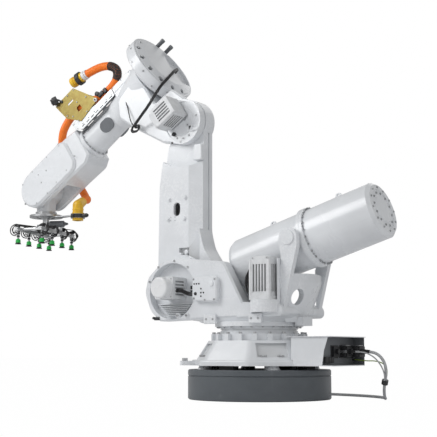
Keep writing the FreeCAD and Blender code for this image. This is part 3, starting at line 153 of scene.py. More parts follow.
class Finish:
    """One material and the nodes that make it."""

    def __init__(self, name):
        self.material = bpy.data.materials.new(name)
        self.material.use_nodes = True
        self.nodes = self.material.node_tree.nodes
        self.links = self.material.node_tree.links
        self.shader = self.nodes["Principled BSDF"]

    def node(self, kind, settings, inputs):
        made = self.nodes.new(kind)
        for key, value in settings.items():
            if key == "stops":
                self.set_stops(made.color_ramp, value)
            else:
                setattr(made, key, value)
        for key, value in inputs.items():
            self.put(made.inputs[key], value)
        return Outputs(self, made)

    def put(self, socket, value):
        if isinstance(value, Value):
            self.links.new(value.socket, socket)
        elif hasattr(value, "__len__") and socket.type == "RGBA" and len(value) == 3:
            socket.default_value = (*value, 1.0)
        else:
            socket.default_value = value

    @staticmethod
    def set_stops(ramp, stops):
        for place, colour in stops[2:]:
            ramp.elements.new(place).color = (*colour, 1)
        for element, (place, colour) in zip(ramp.elements, stops[:2]):
            element.position = place
            element.color = (*colour, 1)

    def position(self, stretch=(1, 1, 1)):
        """Where a point lies on the robot, in metres, stretched along the axes."""
        place = self.node("ShaderNodeTexCoord", {}, {})["Object"]
        return self.node("ShaderNodeMapping", {}, {"Vector": place, "Scale": stretch})[0]

    def noise(self, scale, detail=3.0, roughness=0.55, stretch=(1, 1, 1), distortion=0.0):
        inputs = {
            "Vector": self.position(stretch), "Scale": scale, "Detail": detail,
            "Roughness": roughness, "Distortion": distortion,
        }
        return self.node("ShaderNodeTexNoise", {}, inputs)["Fac"]

    def cells(self, scale):
        inputs = {"Vector": self.position(), "Scale": scale}
        return self.node("ShaderNodeTexVoronoi", {}, inputs)["Distance"]

    def ramp(self, value, stops):
        return self.node("ShaderNodeValToRGB", {"stops": stops}, {"Fac": value})["Color"]

    def mix(self, fac, a, b):
        settings = {"data_type": "RGBA"}
        return self.node("ShaderNodeMix", settings, {0: fac, 6: a, 7: b})[2]

    def edges(self):
        """How far a spot stands out: over a half on outer edges, less in inner corners."""
        return self.node("ShaderNodeNewGeometry", {}, {})["Pointiness"]

    def facing(self, axis):
        """How far the surface faces along one axis, from -1 to 1."""
        normal = self.node("ShaderNodeNewGeometry", {}, {})["Normal"]
        return self.node("ShaderNodeSeparateXYZ", {}, {"Vector": normal})[axis]

    def shaded_corners(self, low, high):
        """Mask for painted shade: 1 in inner corners and 0 on open surfaces."""
        return 1 - self.edges().between(low, high)

    def bump(self, height, distance, strength):
        inputs = {"Height": height, "Distance": distance, "Strength": strength}
        return self.node("ShaderNodeBump", {}, inputs)[0]

    def finish(
            self, colour, roughness, metallic=0.0, normal=None, coat=None, coat_roughness=0.1):
        self.put(self.shader.inputs["Base Color"], colour)
        self.put(self.shader.inputs["Roughness"], roughness)
        self.put(self.shader.inputs["Metallic"], metallic)
        if coat is not None:
            self.put(self.shader.inputs["Coat Weight"], coat)
            self.put(self.shader.inputs["Coat Roughness"], coat_roughness)
        if normal is not None:
            self.put(self.shader.inputs["Normal"], normal)
        return self.material


# Finishes


def shade(colour, factor):
    return tuple(c * factor for c in colour)


def robot_paint(name, colour, dust=0.5):
    """Semi-gloss spray paint over cast iron, with dust on top, painted shade in inner corners and
    rubbed edges.
    """
    f = Finish(name)
    clouds = f.noise(3.0, 4)
    fine = f.noise(420.0, 2)
    grime = f.noise(9.0, 5, 0.65)
    up = f.facing("Z").between(0.35, 1.0)
    # Painted shade: mask for greying the paint in inner corners.
    corner = f.shaded_corners(0.40, 0.495)
    rub = f.edges().between(0.53, 0.62) * f.noise(60.0, 3).between(0.45, 0.62)
    base = f.mix(clouds.between(0.3, 0.7), colour, shade(colour, 0.90))
    # Dust on top surfaces plus painted shade in inner corners, both greying the paint.
    dust_and_shade = (corner * 0.45 + up * grime.between(0.5, 0.8) * 0.22 * dust).clamped()
    base = f.mix(dust_and_shade, base, (0.43, 0.43, 0.42))
    base = f.mix(rub * 0.35, base, (0.93, 0.94, 0.95))
    rough = 0.24 + clouds * 0.08 + up * grime * 0.22 * dust
    cast = f.noise(38.0, 4, 0.6)
    skin = f.bump(cast + fine * 0.12, 0.0008, 0.22)
    return f.finish(base, rough, 0.0, skin, 0.40, 0.12)


def motor_paint():
    """Pale grey motor paint with patchy grime and painted shade between the ribs."""
    f = Finish("motor_paint")
    grime = f.noise(22.0, 5, 0.6)
    base = f.mix(grime.between(0.35, 0.7), (0.74, 0.755, 0.77), (0.66, 0.672, 0.685))
    # Painted shade: near black in inner corners, between the ribs.
    base = f.mix(f.shaded_corners(0.38, 0.49) * 0.7, base, (0.16, 0.165, 0.17))
    skin = f.bump(f.noise(240.0, 3), 0.0006, 0.4)
    return f.finish(base, 0.42 + grime * 0.18, 0.0, skin, 0.08)


def pedestal_paint():
    """Matt slate paint, scuffed at the rim and dusty on top."""
    f = Finish("pedestal_paint")
    clouds = f.noise(4.0, 3, 0.5, (1, 1, 2.2))
    streaks = f.noise(16.0, 3, 0.5, (1, 1, 0.12))
    scuffs = f.noise(9.0, 3, 0.5).between(0.62, 0.8)
    up = f.facing("Z").between(0.6, 1.0)
    base = f.mix(clouds.between(0.2, 0.85), (0.082, 0.094, 0.105), (0.098, 0.112, 0.124))
    base = f.mix(streaks.between(0.55, 0.8) * 0.12, base, (0.20, 0.21, 0.22))
    base = f.mix((scuffs * 0.10 + up * 0.12 * clouds).clamped(), base, (0.36, 0.37, 0.38))
    return f.finish(base, 0.36 + clouds * 0.1, 0.0, None, 0.2, 0.3)


def zinc_steel():
    """Zinc-plated steel with soft blotches, fine scratches and painted shade in inner corners."""
    colour = (0.56, 0.57, 0.58)
    f = Finish("zinc_steel")
    blotch = f.noise(45.0, 4, 0.6)
    scratch = f.noise(120.0, 3, 0.6, (1, 6, 1)).between(0.55, 0.75)
    base = f.mix(blotch.between(0.3, 0.7), colour, shade(colour, 0.72))
    # Painted shade: near black in inner corners.
    base = f.mix(f.shaded_corners(0.4, 0.49) * 0.6, base, (0.10, 0.10, 0.10))
    rough = 0.34 + blotch * 0.2 + scratch * 0.08
    return f.finish(base, rough, 1.0, f.bump(scratch, 0.0003, 0.3))


def zinc_sheet():
    """Hot-dip zinc sheet with its frost-like spangle."""
    f = Finish("zinc_sheet")
    spangle = f.cells(70.0)
    cloud = f.noise(14.0, 3)
    stops = [(0.1, (0.44, 0.46, 0.47)), (0.9, (0.66, 0.67, 0.68))]
    base = f.ramp(spangle * 0.7 + cloud * 0.5, stops)
    return f.finish(base, 0.30 + spangle * 0.30, 0.9, f.bump(spangle, 0.0002, 0.3))


def ground_bar():
    """Ground and chromed bar."""
    f = Finish("ground_bar")
    lines = f.noise(300.0, 2, 0.5, (1, 0.05, 1))
    return f.finish((0.62, 0.63, 0.64), 0.12 + lines * 0.12, 1.0, f.bump(lines, 0.0001, 0.3))


def gold_plate():
    """Yellow chromate over zinc, with its drifting green and rose tint."""
    f = Finish("gold_plate")
    drift = f.noise(17.0, 4, 0.6, distortion=0.8)
    fine = f.noise(160.0, 3)
    stops = [
        (0.25, (0.25, 0.17, 0.05)), (0.80, (0.33, 0.28, 0.09)),
        (0.45, (0.40, 0.25, 0.10)), (0.6, (0.30, 0.17, 0.11)),
    ]
    base = f.ramp(drift, stops)
    return f.finish(base, 0.30 + fine * 0.2, 0.75, f.bump(fine, 0.0002, 0.4))


def drawn_aluminium():
    """Satin anodised extrusions with faint drawing lines."""
    f = Finish("drawn_aluminium")
    lines = f.noise(200.0, 2, 0.5, (1, 0.04, 1))
    cloud = f.noise(12.0, 3)
    base = f.mix(cloud, (0.62, 0.63, 0.64), (0.72, 0.73, 0.74))
    return f.finish(base, 0.30 + lines * 0.15, 1.0, f.bump(lines, 0.0002, 0.4))


def moulded(name, colour, rough=0.45, grain=300.0, coat=None):
    """Moulded plastic or rubber with fine grain, painted shade in its corners and paler rubbed
    edges.
    """
    f = Finish(name)
    cloud = f.noise(26.0, 4, 0.6)
    pale = tuple(min(1.0, c * 1.25 + 0.02) for c in colour)
    base = f.mix(cloud.between(0.3, 0.75), shade(colour, 0.78), colour)
    base = f.mix(f.edges().between(0.52, 0.62) * 0.6, base, pale)
    # Painted shade: darker in inner corners.
    base = f.mix(f.shaded_corners(0.38, 0.48) * 0.5, base, shade(colour, 0.35))
    skin = f.bump(f.noise(grain, 3), 0.0004, 0.35)
    return f.finish(base, rough + cloud * 0.14, 0.0, skin, coat)


def hose_plastic():
    """Bright orange hose plastic, with painted shade in its grooves."""
    f = Finish("orange_hose")
    cloud = f.noise(30.0, 3)
    base = f.mix(cloud.between(0.3, 0.7), (1.0, 0.235, 0.012), (0.96, 0.20, 0.008))
    # Painted shade: deeper orange in the grooves.
    base = f.mix(f.shaded_corners(0.36, 0.50) * 0.35, base, (0.62, 0.085, 0.003))
    skin = f.bump(f.noise(260.0, 2), 0.0002, 0.2)
    return f.finish(base, 0.34 + cloud * 0.08, 0.0, skin, 0.15)


def striped_wire():
    """Earth wire sheath, yellow with green stripes along it."""
    f = Finish("striped_wire")
    inputs = {"Vector": f.position(), "Scale": 60.0, "Distortion": 0.4}
    wave = f.node("ShaderNodeTexWave", {"bands_direction": "DIAGONAL"}, inputs)["Fac"]
    base = f.mix(wave.between(0.4, 0.6), (0.55, 0.60, 0.06), (0.08, 0.33, 0.10))
    return f.finish(base, 0.42 + wave * 0.05)


def make_finishes():
    """Every finish, by the name of the record's material slot."""
    return {
        "white_paint": robot_paint("robot_paint", (0.800, 0.822, 0.848)),
        "slate_paint": pedestal_paint(),
        "motor_paint": motor_paint(),
        "zinc_steel": zinc_steel(),
        "zinc_sheet": zinc_sheet(),
        "bright_steel": ground_bar(),
        "gold_plate": gold_plate(),
        "aluminium": drawn_aluminium(),
        "white_plastic": robot_paint("white_plastic", (0.82, 0.83, 0.84), 0.3),
        "black_plastic": moulded("black_plastic", (0.020, 0.021, 0.023), 0.36),
        "grey_plastic": moulded("grey_plastic", (0.145, 0.155, 0.168), 0.42),
        "yellow_plastic": moulded("yellow_plastic", (0.90, 0.52, 0.012), 0.30, 200.0, 0.3),
        "orange_hose": hose_plastic(),
        "grey_hose": moulded("grey_hose", (0.50, 0.51, 0.52), 0.48, 500.0),
        "grey_cable": moulded("grey_cable", (0.46, 0.47, 0.48), 0.46, 500.0),
        "green_wire": striped_wire(),
        "black_cable": moulded("black_cable", (0.018, 0.018, 0.020), 0.40, 400.0),
        "black_rubber": moulded("black_rubber", (0.016, 0.016, 0.017), 0.62, 240.0),
        "green_rubber": moulded("green_rubber", (0.01, 0.50, 0.07), 0.35, 240.0, 0.15),
    }


FINISHES = {}


# Mesh building


def add_piece(name, data, slot, body):
    """Puts a piece in the scene with a finish, on a body."""
    piece = bpy.data.objects.new(name, data)
    bpy.context.scene.collection.objects.link(piece)
    piece.data.materials.append(FINISHES[slot])
    if body:
        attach(piece, body)
    return piece


def mesh_from(bm, name, smooth_angle=35.0):
    """A mesh with faces smoothed except across edges sharper than the angle."""
    bmesh.ops.recalc_face_normals(bm, faces=bm.faces)
    limit = math.radians(smooth_angle)
    for face in bm.faces:
        face.smooth = True
    for edge in bm.edges:
        edge.smooth = len(edge.link_faces) == 2 and edge.calc_face_angle(0) < limit
    mesh = bpy.data.meshes.new(name)
    bm.to_mesh(mesh)
    bm.free()
    return mesh


def basis(axis, hint=Z):
    """Two unit directions across an axis."""
    a = axis.normalized()
    side = hint.cross(a)
    if side.length < 1e-3:
        side = X.cross(a)
    side.normalize()
    return side, a.cross(side)


def around(count, start=0.0):
    """Cosine and sine of evenly spaced angles, the first at a share of one step."""
    angles = [2 * math.pi * (i + start) / count for i in range(count)]
    return [(math.cos(a), math.sin(a)) for a in angles]


def at_degrees(*degrees):
    """Cosine and sine of each angle."""
    return [(math.cos(math.radians(d)), math.sin(math.radians(d))) for d in degrees]


def ring_of(bm, middle, u, v, radius, sides):
    """Vertices in a circle round a point."""
    return [bm.verts.new(middle + (u * across + v * up) * radius) for across, up in around(sides)]


def turned(bm, profile, start, axis, sides=32):
    """Turns (distance along, radius) pairs about an axis; a radius of 0 closes an end."""
    u, v = basis(axis)
    a = axis.normalized()
    rings = []
    for s, r in profile:
        middle = start + a * s
        rings.append(ring_of(bm, middle, u, v, r, sides) if r > 0 else [bm.verts.new(middle)])
    for low, high in zip(rings, rings[1:]):
        for i in range(sides):
            j = (i + 1) % sides
            if len(low) == 1 and len(high) == 1:
                continue
            if len(low) == 1:
                bm.faces.new((low[0], high[i], high[j]))
            elif len(high) == 1:
                bm.faces.new((low[i], high[0], low[j]))
            else:
                bm.faces.new((low[i], high[i], high[j], low[j]))


def soft_box(bm, centre, half, bevel, segments=2, axes=(X, Y, Z)):
    """A box with rounded edges, by its centre, half sizes and directions."""
    verts = {}
    for i in (-1, 1):
        for j in (-1, 1):
            for k in (-1, 1):
                place = centre.copy()
                for sign, axis, reach in zip((i, j, k), axes, half):
                    place = place + axis * (sign * reach)
                verts[i, j, k] = bm.verts.new(place)
    faces = []
    for axis in range(3):
        for sign in (-1, 1):
            corners = []
            for a, b in ((-1, -1), (1, -1), (1, 1), (-1, 1)):
                key = [a, b]
                key.insert(axis, sign)
                corners.append(verts[tuple(key)])
            faces.append(bm.faces.new(corners))
    edges = {e for f in faces for e in f.edges}
    bmesh.ops.recalc_face_normals(bm, faces=faces)
    bmesh.ops.bevel(
        bm, geom=list(edges), offset=bevel, segments=segments, profile=0.6, affect="EDGES")


def cap_screw(bm, seat, axis, radius, height):
    """A socket cap screw: rounded head with its hexagon socket."""
    edge = radius * 0.18
    floor = height * 0.45
    mouth = (height, radius * 0.55)
    head = [(0, radius), (height - edge, radius), (height, radius - edge), mouth]
    turned(bm, head, seat, axis, 20)
    turned(bm, [mouth, (floor, radius * 0.50), (floor, 0)], seat, axis, 6)


def screws(name, places, body, slot="zinc_steel", radius=0.006, height=0.006):
    """Socket screws at (seat, axis) pairs."""
    bm = bmesh.new()
    for seat, axis in places:
        cap_screw(bm, seat, axis, radius, height)
    return add_piece(name, mesh_from(bm, name), slot, body)


def spline_curve(name, points, radius=0.0):
    """A smooth curve that the points pull towards themselves."""
    curve = bpy.data.curves.new(name, "CURVE")
    curve.dimensions = "3D"
    curve.resolution_u = 12
    spline = curve.splines.new("NURBS")
    spline.points.add(len(points) - 1)
    for point, place in zip(spline.points, points):
        point.co = (*place, 1)
    spline.order_u = 3
    spline.use_endpoint_u = True
    curve.bevel_depth = radius
    curve.bevel_resolution = 6
    curve.use_fill_caps = True
    return curve


def line_of(points):
    """Places evenly spaced along the smooth curve of a route."""
    curve = spline_curve("route", points)
    holder = bpy.data.objects.new("route", curve)
    mesh = bpy.data.meshes.new_from_object(holder)
    places = [v.co.copy() for v in mesh.vertices]
    bpy.data.objects.remove(holder)
    bpy.data.curves.remove(curve)
    bpy.data.meshes.remove(mesh)
    return places


def length_of(places):
    return sum((b - a).length for a, b in zip(places, places[1:]))


def resampled(places, step):
    """Points along a line at one spacing, its two ends kept."""
    lengths = [0.0]
    for a, b in zip(places, places[1:]):
        lengths.append(lengths[-1] + (b - a).length)
    count = max(2, round(lengths[-1] / step))
    out = []
    j = 0
    for i in range(count + 1):
        want = lengths[-1] * i / count
        while j < len(lengths) - 2 and lengths[j + 1] < want:
            j += 1
        span = lengths[j + 1] - lengths[j]
        out.append(places[j].lerp(places[j + 1], (want - lengths[j]) / span if span else 0))
    return out


def sweep(bm, places, radius_at, sides=20):
    """A round tube along close places; radius_at gives the radius for each place's number."""
    tangent = (places[1] - places[0]).normalized()
    u, v = basis(tangent)
    rings = []
    for i, place in enumerate(places):
        ahead = places[min(i + 1, len(places) - 1)]
        behind = places[max(i - 1, 0)]
        new = (ahead - behind).normalized()
        turn = tangent.rotation_difference(new)
        u = turn @ u
        u = (u - new * u.dot(new)).normalized()
        v = new.cross(u)
        tangent = new
        rings.append(ring_of(bm, place, u, v, radius_at(i), sides))
    for low, high in zip(rings, rings[1:]):
        for k in range(sides):
            m = (k + 1) % sides
            bm.faces.new((low[k], low[m], high[m], high[k]))
    bm.faces.new(rings[0][::-1])
    bm.faces.new(rings[-1])


def disc(bm, start, axis, radius, length, edge=0.15, sides=28):
    """A closed round bar with a rounded far edge."""
    e = min(radius, length) * edge
    profile = [
        (0, 0), (0, radius), (length - e, radius), (length - e * 0.3, radius - e * 0.3),
        (length, radius - e), (length, 0),
    ]
    turned(bm, profile, start, axis, sides)


def collar(bm, start, axis, radius, inner, length):
    """A round sleeve, open along its middle."""
    e = (radius - inner) * 0.3
    profile = [
        (0, inner), (0, radius - e), (e, radius), (length - e, radius), (length, radius - e),
        (length, inner), (0, inner),
    ]
    turned(bm, profile, start, axis, 36)


def cable(bm, points, radius):
    """A thin cable along the smooth curve of its points."""
    sweep(bm, resampled(line_of(points), radius * 1.6), lambda i: radius, 12)


def piece_of(name, slot, body, *steps):
    """One piece from several closed shapes; each step is a builder and what it needs."""
    bm = bmesh.new()
    for build, *inputs in steps:
        build(bm, *inputs)
    return add_piece(name, mesh_from(bm, name), slot, body)


# Places in millimetres


def mm(x, y, z):
    return Vector((x, y, z)) / 1000


def on_side(face, *places):
    """Seats on the robot's left side by their x and z, which face outwards."""
    return [(mm(x, face, z), Y) for x, z in places]


def arm(s, t, y=0.0):
    """A point by its distances along, above and beside the forearm's axis, in millimetres."""
    return forearm.at(s / 1000, t / 1000, y / 1000)


def on_arm(face, *places):
    """Seats on the forearm's left side, which face outwards."""
    return [(arm(s, t, face), Y) for s, t in places]


def below_tool(x, y, drop):
    """A point under the wrist, in millimetres from the middle of the tool flange."""
    return Vector((WRIST.x, 0, TOOL_TOP)) + mm(x, y, -drop)


# Sizes a user may change


def length_setting(name, description, default, least):
    """A length property, in metres."""
    return bpy.props.FloatProperty(
        name=name, description=description, default=default, min=least, unit="LENGTH")


def power_setting(name, description, default):
    """A lamp's power property, in watts."""
    return bpy.props.FloatProperty(
        name=name, description=description, default=default, min=0.0, unit="POWER")


class HoseSizes(bpy.types.PropertyGroup):
    """Sizes of the corrugated hose."""

    outer: length_setting("Outer radius", "Radius over the crests", 0.036, 0.01)
    groove: length_setting("Groove depth", "Depth of the corrugations", 0.0028, 0.0)
    pitch: length_setting("Pitch", "Distance from crest to crest", 0.0115, 0.003)


class CordSizes(bpy.types.PropertyGroup):
    """Diameters of the free cords behind the base."""

    supply: length_setting("Supply line", "Diameter of the supply line", 0.022, 0.004)
    signal: length_setting("Signal cable", "Diameter of the signal cable", 0.010, 0.002)
    earth: length_setting("Earth wire", "Diameter of the earth wire", 0.008, 0.002)


class StageSizes(bpy.types.PropertyGroup):
    """Camera and lights."""

    camera_place: bpy.props.FloatVectorProperty(
        name="Camera", description="Place of the camera", default=(-4.1707, 6.5988, 0.357),
        subtype="TRANSLATION", unit="LENGTH")
    camera_bearing: bpy.props.FloatVectorProperty(
        name="Bearing", description="Level direction of the view", default=(0.568, -0.823, 0.0),
        subtype="DIRECTION")
    camera_rise: bpy.props.FloatProperty(
        name="Rise", description="Angle of the view above level", default=math.radians(7.6),
        subtype="ANGLE")
    lens: bpy.props.FloatProperty(
        name="Lens", description="Focal length on a 36 mm sensor, in millimetres",
        default=82.38, min=1.0)
    key_power: power_setting("Key lamp", "Power of the large lamp", 290.0)
    fill_power: power_setting("Fill lamp", "Power of the lamp on the other side", 36.0)
    sky: bpy.props.FloatProperty(
        name="Sky", description="Brightness of the surroundings as a light", default=0.47, min=0.0)


# Routes of the cords

CORD_GAP = 0.0001
SUPPLY_EXIT = Vector((-0.812, -0.178, 0.359))
SUPPLY_ROUTE = [
    SUPPLY_EXIT, mm(-880, -178, 359), mm(-941, -180, 325), mm(-975, -185, 264),
    mm(-976, -190, 190), mm(-950, -210, 115), mm(-922, -262, 50), mm(-896, -335, 11),
    mm(-850, -440, 11), mm(-750, -570, 11), mm(-580, -690, 11), mm(-365, -785, 11),
    mm(-120, -848, 11), mm(110, -871, 11),
]
SLEEVE_ALONG = (SUPPLY_ROUTE[5] - SUPPLY_ROUTE[4]).normalized()
SLEEVE_TOP = SUPPLY_ROUTE[4] + SLEEVE_ALONG * 0.040
SLEEVE_SIDE = SLEEVE_ALONG.cross(X).normalized()
SIGNAL_END = SLEEVE_TOP - SLEEVE_SIDE * 0.0165
SIGNAL_ROUTE = [
    mm(-764, -70, 359), mm(-814, -70, 359), mm(-866, -112, 350), mm(-930, -150, 300),
    SIGNAL_END - SLEEVE_ALONG * 0.052, SIGNAL_END - SLEEVE_ALONG * CORD_GAP,
]
EARTH_END = SLEEVE_TOP + SLEEVE_SIDE * 0.018
EARTH_ROUTE = [
    mm(-680, -232, 300), mm(-730, -232, 300), mm(-800, -232, 290), mm(-874, -230, 292),
    mm(-940, -224, 274), EARTH_END - SLEEVE_ALONG * 0.080, EARTH_END - SLEEVE_ALONG * CORD_GAP,
]
COIL_CENTRE = Vector((0.170, -0.725, 0))
COIL_RADIUS = 0.115
TURNS_ACROSS = 4
LAYERS = 2
POINTS_PER_TURN = 24
CROSSING = 0.25

# Routes of the hose

HOSE_SIDE = 108.0
HOSE_GAP = 0.0003
HOSE_BORE = 0.0362
COLLAR_SHARE = 0.34
GUARD_SHARES = (0.41, 0.62)
CREST = (0.0, 0.1, 0.6, 1.0, 0.9, 0.3)
LOOP_ROUTE = [
    arm(s, t, HOSE_SIDE) for s, t in (
        (692, 532), (546, 491), (426, 437), (346, 363), (322, 284),
        (372, 224), (478, 202), (600, 222), (708, 256),
    )
]
LOOP_START = (LOOP_ROUTE[1] - LOOP_ROUTE[0]).normalized()
LOOP_ALONG = (LOOP_ROUTE[-1] - LOOP_ROUTE[-2]).normalized()
UPPER_ROUTE = [
    LOOP_ROUTE[-1] + LOOP_ALONG * HOSE_GAP, LOOP_ROUTE[-1] + LOOP_ALONG * 0.166,
    arm(1040, 318, 80), arm(1190, 300, 30), arm(1300, 275, -60),
]
UPPER_ALONG = (UPPER_ROUTE[-1] - UPPER_ROUTE[-2]).normalized()
ELBOW_LEAN = Vector((0.15, -0.85, 0.5)).normalized()
ELBOW_END = below_tool(-392, 0, -35) + ELBOW_LEAN * 0.088
LOWER_ROUTE = [
    UPPER_ROUTE[-1] + UPPER_ALONG * HOSE_GAP, UPPER_ROUTE[-1] + UPPER_ALONG * 0.104,
    arm(1440, 190, -215), arm(1468, 80, -272), arm(1475, -50, -288), arm(1455, -170, -262),
    arm(1425, -250, -205), ELBOW_END + ELBOW_LEAN * 0.085, ELBOW_END,
]


# Operators


class ROBOT_OT_finishes(bpy.types.Operator):
    """Give every CAD node the finish of its material slot"""

    bl_idname = "robot.finishes"
    bl_label = "Finishes"

    def execute(self, context):
        FINISHES.update(make_finishes())
        for entry in frame["record"]["subparts"]:
            node = NODES[entry["node"]]
            node.data.materials.clear()
            node.data.materials.append(FINISHES[entry["material_slot"]])
        return {"FINISHED"}


def coil_radius(diameter):
    """Radius of the coil's outermost turn."""
    return COIL_RADIUS + (TURNS_ACROSS - 1) * diameter / 2


def coil_route(diameter):
    """The coil's turns: inwards along the floor, then outwards on top of them."""
    turns = TURNS_ACROSS * LAYERS
    points = []
    for i in range(1, turns * POINTS_PER_TURN + POINTS_PER_TURN // 4):
        t = i / POINTS_PER_TURN
        turn = min(int(t), turns - 1)
        crossed = (t - turn - (1 - CROSSING)) / CROSSING
        shift = min(1.0, max(0.0, crossed)) if t < turns else 0.0
        layer = turn // TURNS_ACROSS
        place = turn - layer * TURNS_ACROSS
        last_in_layer = place == TURNS_ACROSS - 1
        step = 0.0 if last_in_layer else shift
        inward = place + step if layer % 2 == 0 else TURNS_ACROSS - 1 - place - step
        rise = layer + (shift if last_in_layer and layer < LAYERS - 1 else 0.0)
        radius = coil_radius(diameter) - inward * diameter
        angle = 2 * math.pi * t - math.pi / 2
        around_centre = X * (radius * math.cos(angle)) + Y * (radius * math.sin(angle))
        points.append(COIL_CENTRE + around_centre + Z * (diameter * (0.5 + rise)))
    return points


class ROBOT_OT_cords(bpy.types.Operator):
    """Lay the supply line, signal cable and earth wire behind the base"""

    bl_idname = "robot.cords"
    bl_label = "Free cords"

    def execute(self, context):
        sizes = context.scene.robot_cords
        side = COIL_CENTRE + X * coil_radius(sizes.supply)
        tail = [side + mm(0, 62, 28), side + mm(0, 100, 14), side + mm(0, 140, 11)]
        route = SUPPLY_ROUTE + coil_route(sizes.supply) + tail
        curve = spline_curve("supply_line", route, sizes.supply / 2)
        supply = add_piece("supply_line", curve, "grey_hose", "base")
        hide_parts("supply_hose", "supply_coil")
        length = length_of(line_of(route))
        self.short_cord("signal_line", SIGNAL_ROUTE, sizes.signal, "grey_cable", "signal_cable")
        self.short_cord("earth_line", EARTH_ROUTE, sizes.earth, "green_wire", "earth_wire")
        return {"FINISHED"}

    def short_cord(self, name, route, diameter, slot, node):
        """A cord from the cable box to the breakout sleeve on the supply line."""
        cord = add_piece(name, spline_curve(name, route, diameter / 2), slot, "base")
        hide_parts(node)
        length = length_of(line_of(route))


def corrugated(bm, places, outer, groove):
    """A corrugated tube along close places, one for each number of CREST."""
    sweep(bm, places, lambda i: outer - groove * CREST[i % len(CREST)], 28)


class ROBOT_OT_hoses(bpy.types.Operator):
    """Lay the corrugated hose of the package, with its black bend guard"""

    bl_idname = "robot.hoses"
    bl_label = "Hose package"

    def execute(self, context):
        sizes = context.scene.robot_hose
        loop, upper, lower = [
            resampled(line_of(route), sizes.pitch / len(CREST))
            for route in (LOOP_ROUTE, UPPER_ROUTE, LOWER_ROUTE)
        ]
        self.hose("loop_corrugated", loop, "upper_arm", "hose_loop", sizes)
        piece = self.hose("upper_corrugated", upper, None, "hose_upper", sizes)
        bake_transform(piece)
        piece = self.hose("lower_corrugated", lower, None, "hose_lower", sizes)
        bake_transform(piece)
        middle = round(len(upper) * COLLAR_SHARE)
        along = (upper[middle + 4] - upper[middle - 4]).normalized()
        piece_of("bracket_collar", "yellow_plastic", "upper_arm",
                 (collar, upper[middle] - along * 0.014, along, 0.0455, HOSE_BORE, 0.028))
        start, end = [round(len(loop) * share) for share in GUARD_SHARES]
        piece_of("bend_guard", "black_plastic", "upper_arm",
                 (corrugated, loop[start:end], sizes.outer + 0.0035, sizes.groove * 1.3))
        return {"FINISHED"}

    def hose(self, name, places, body, node, sizes):
        bm = bmesh.new()
        corrugated(bm, places, sizes.outer, sizes.groove)
        piece = add_piece(name, mesh_from(bm, name, 80.0), "orange_hose", body)
        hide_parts(node)
        return piece


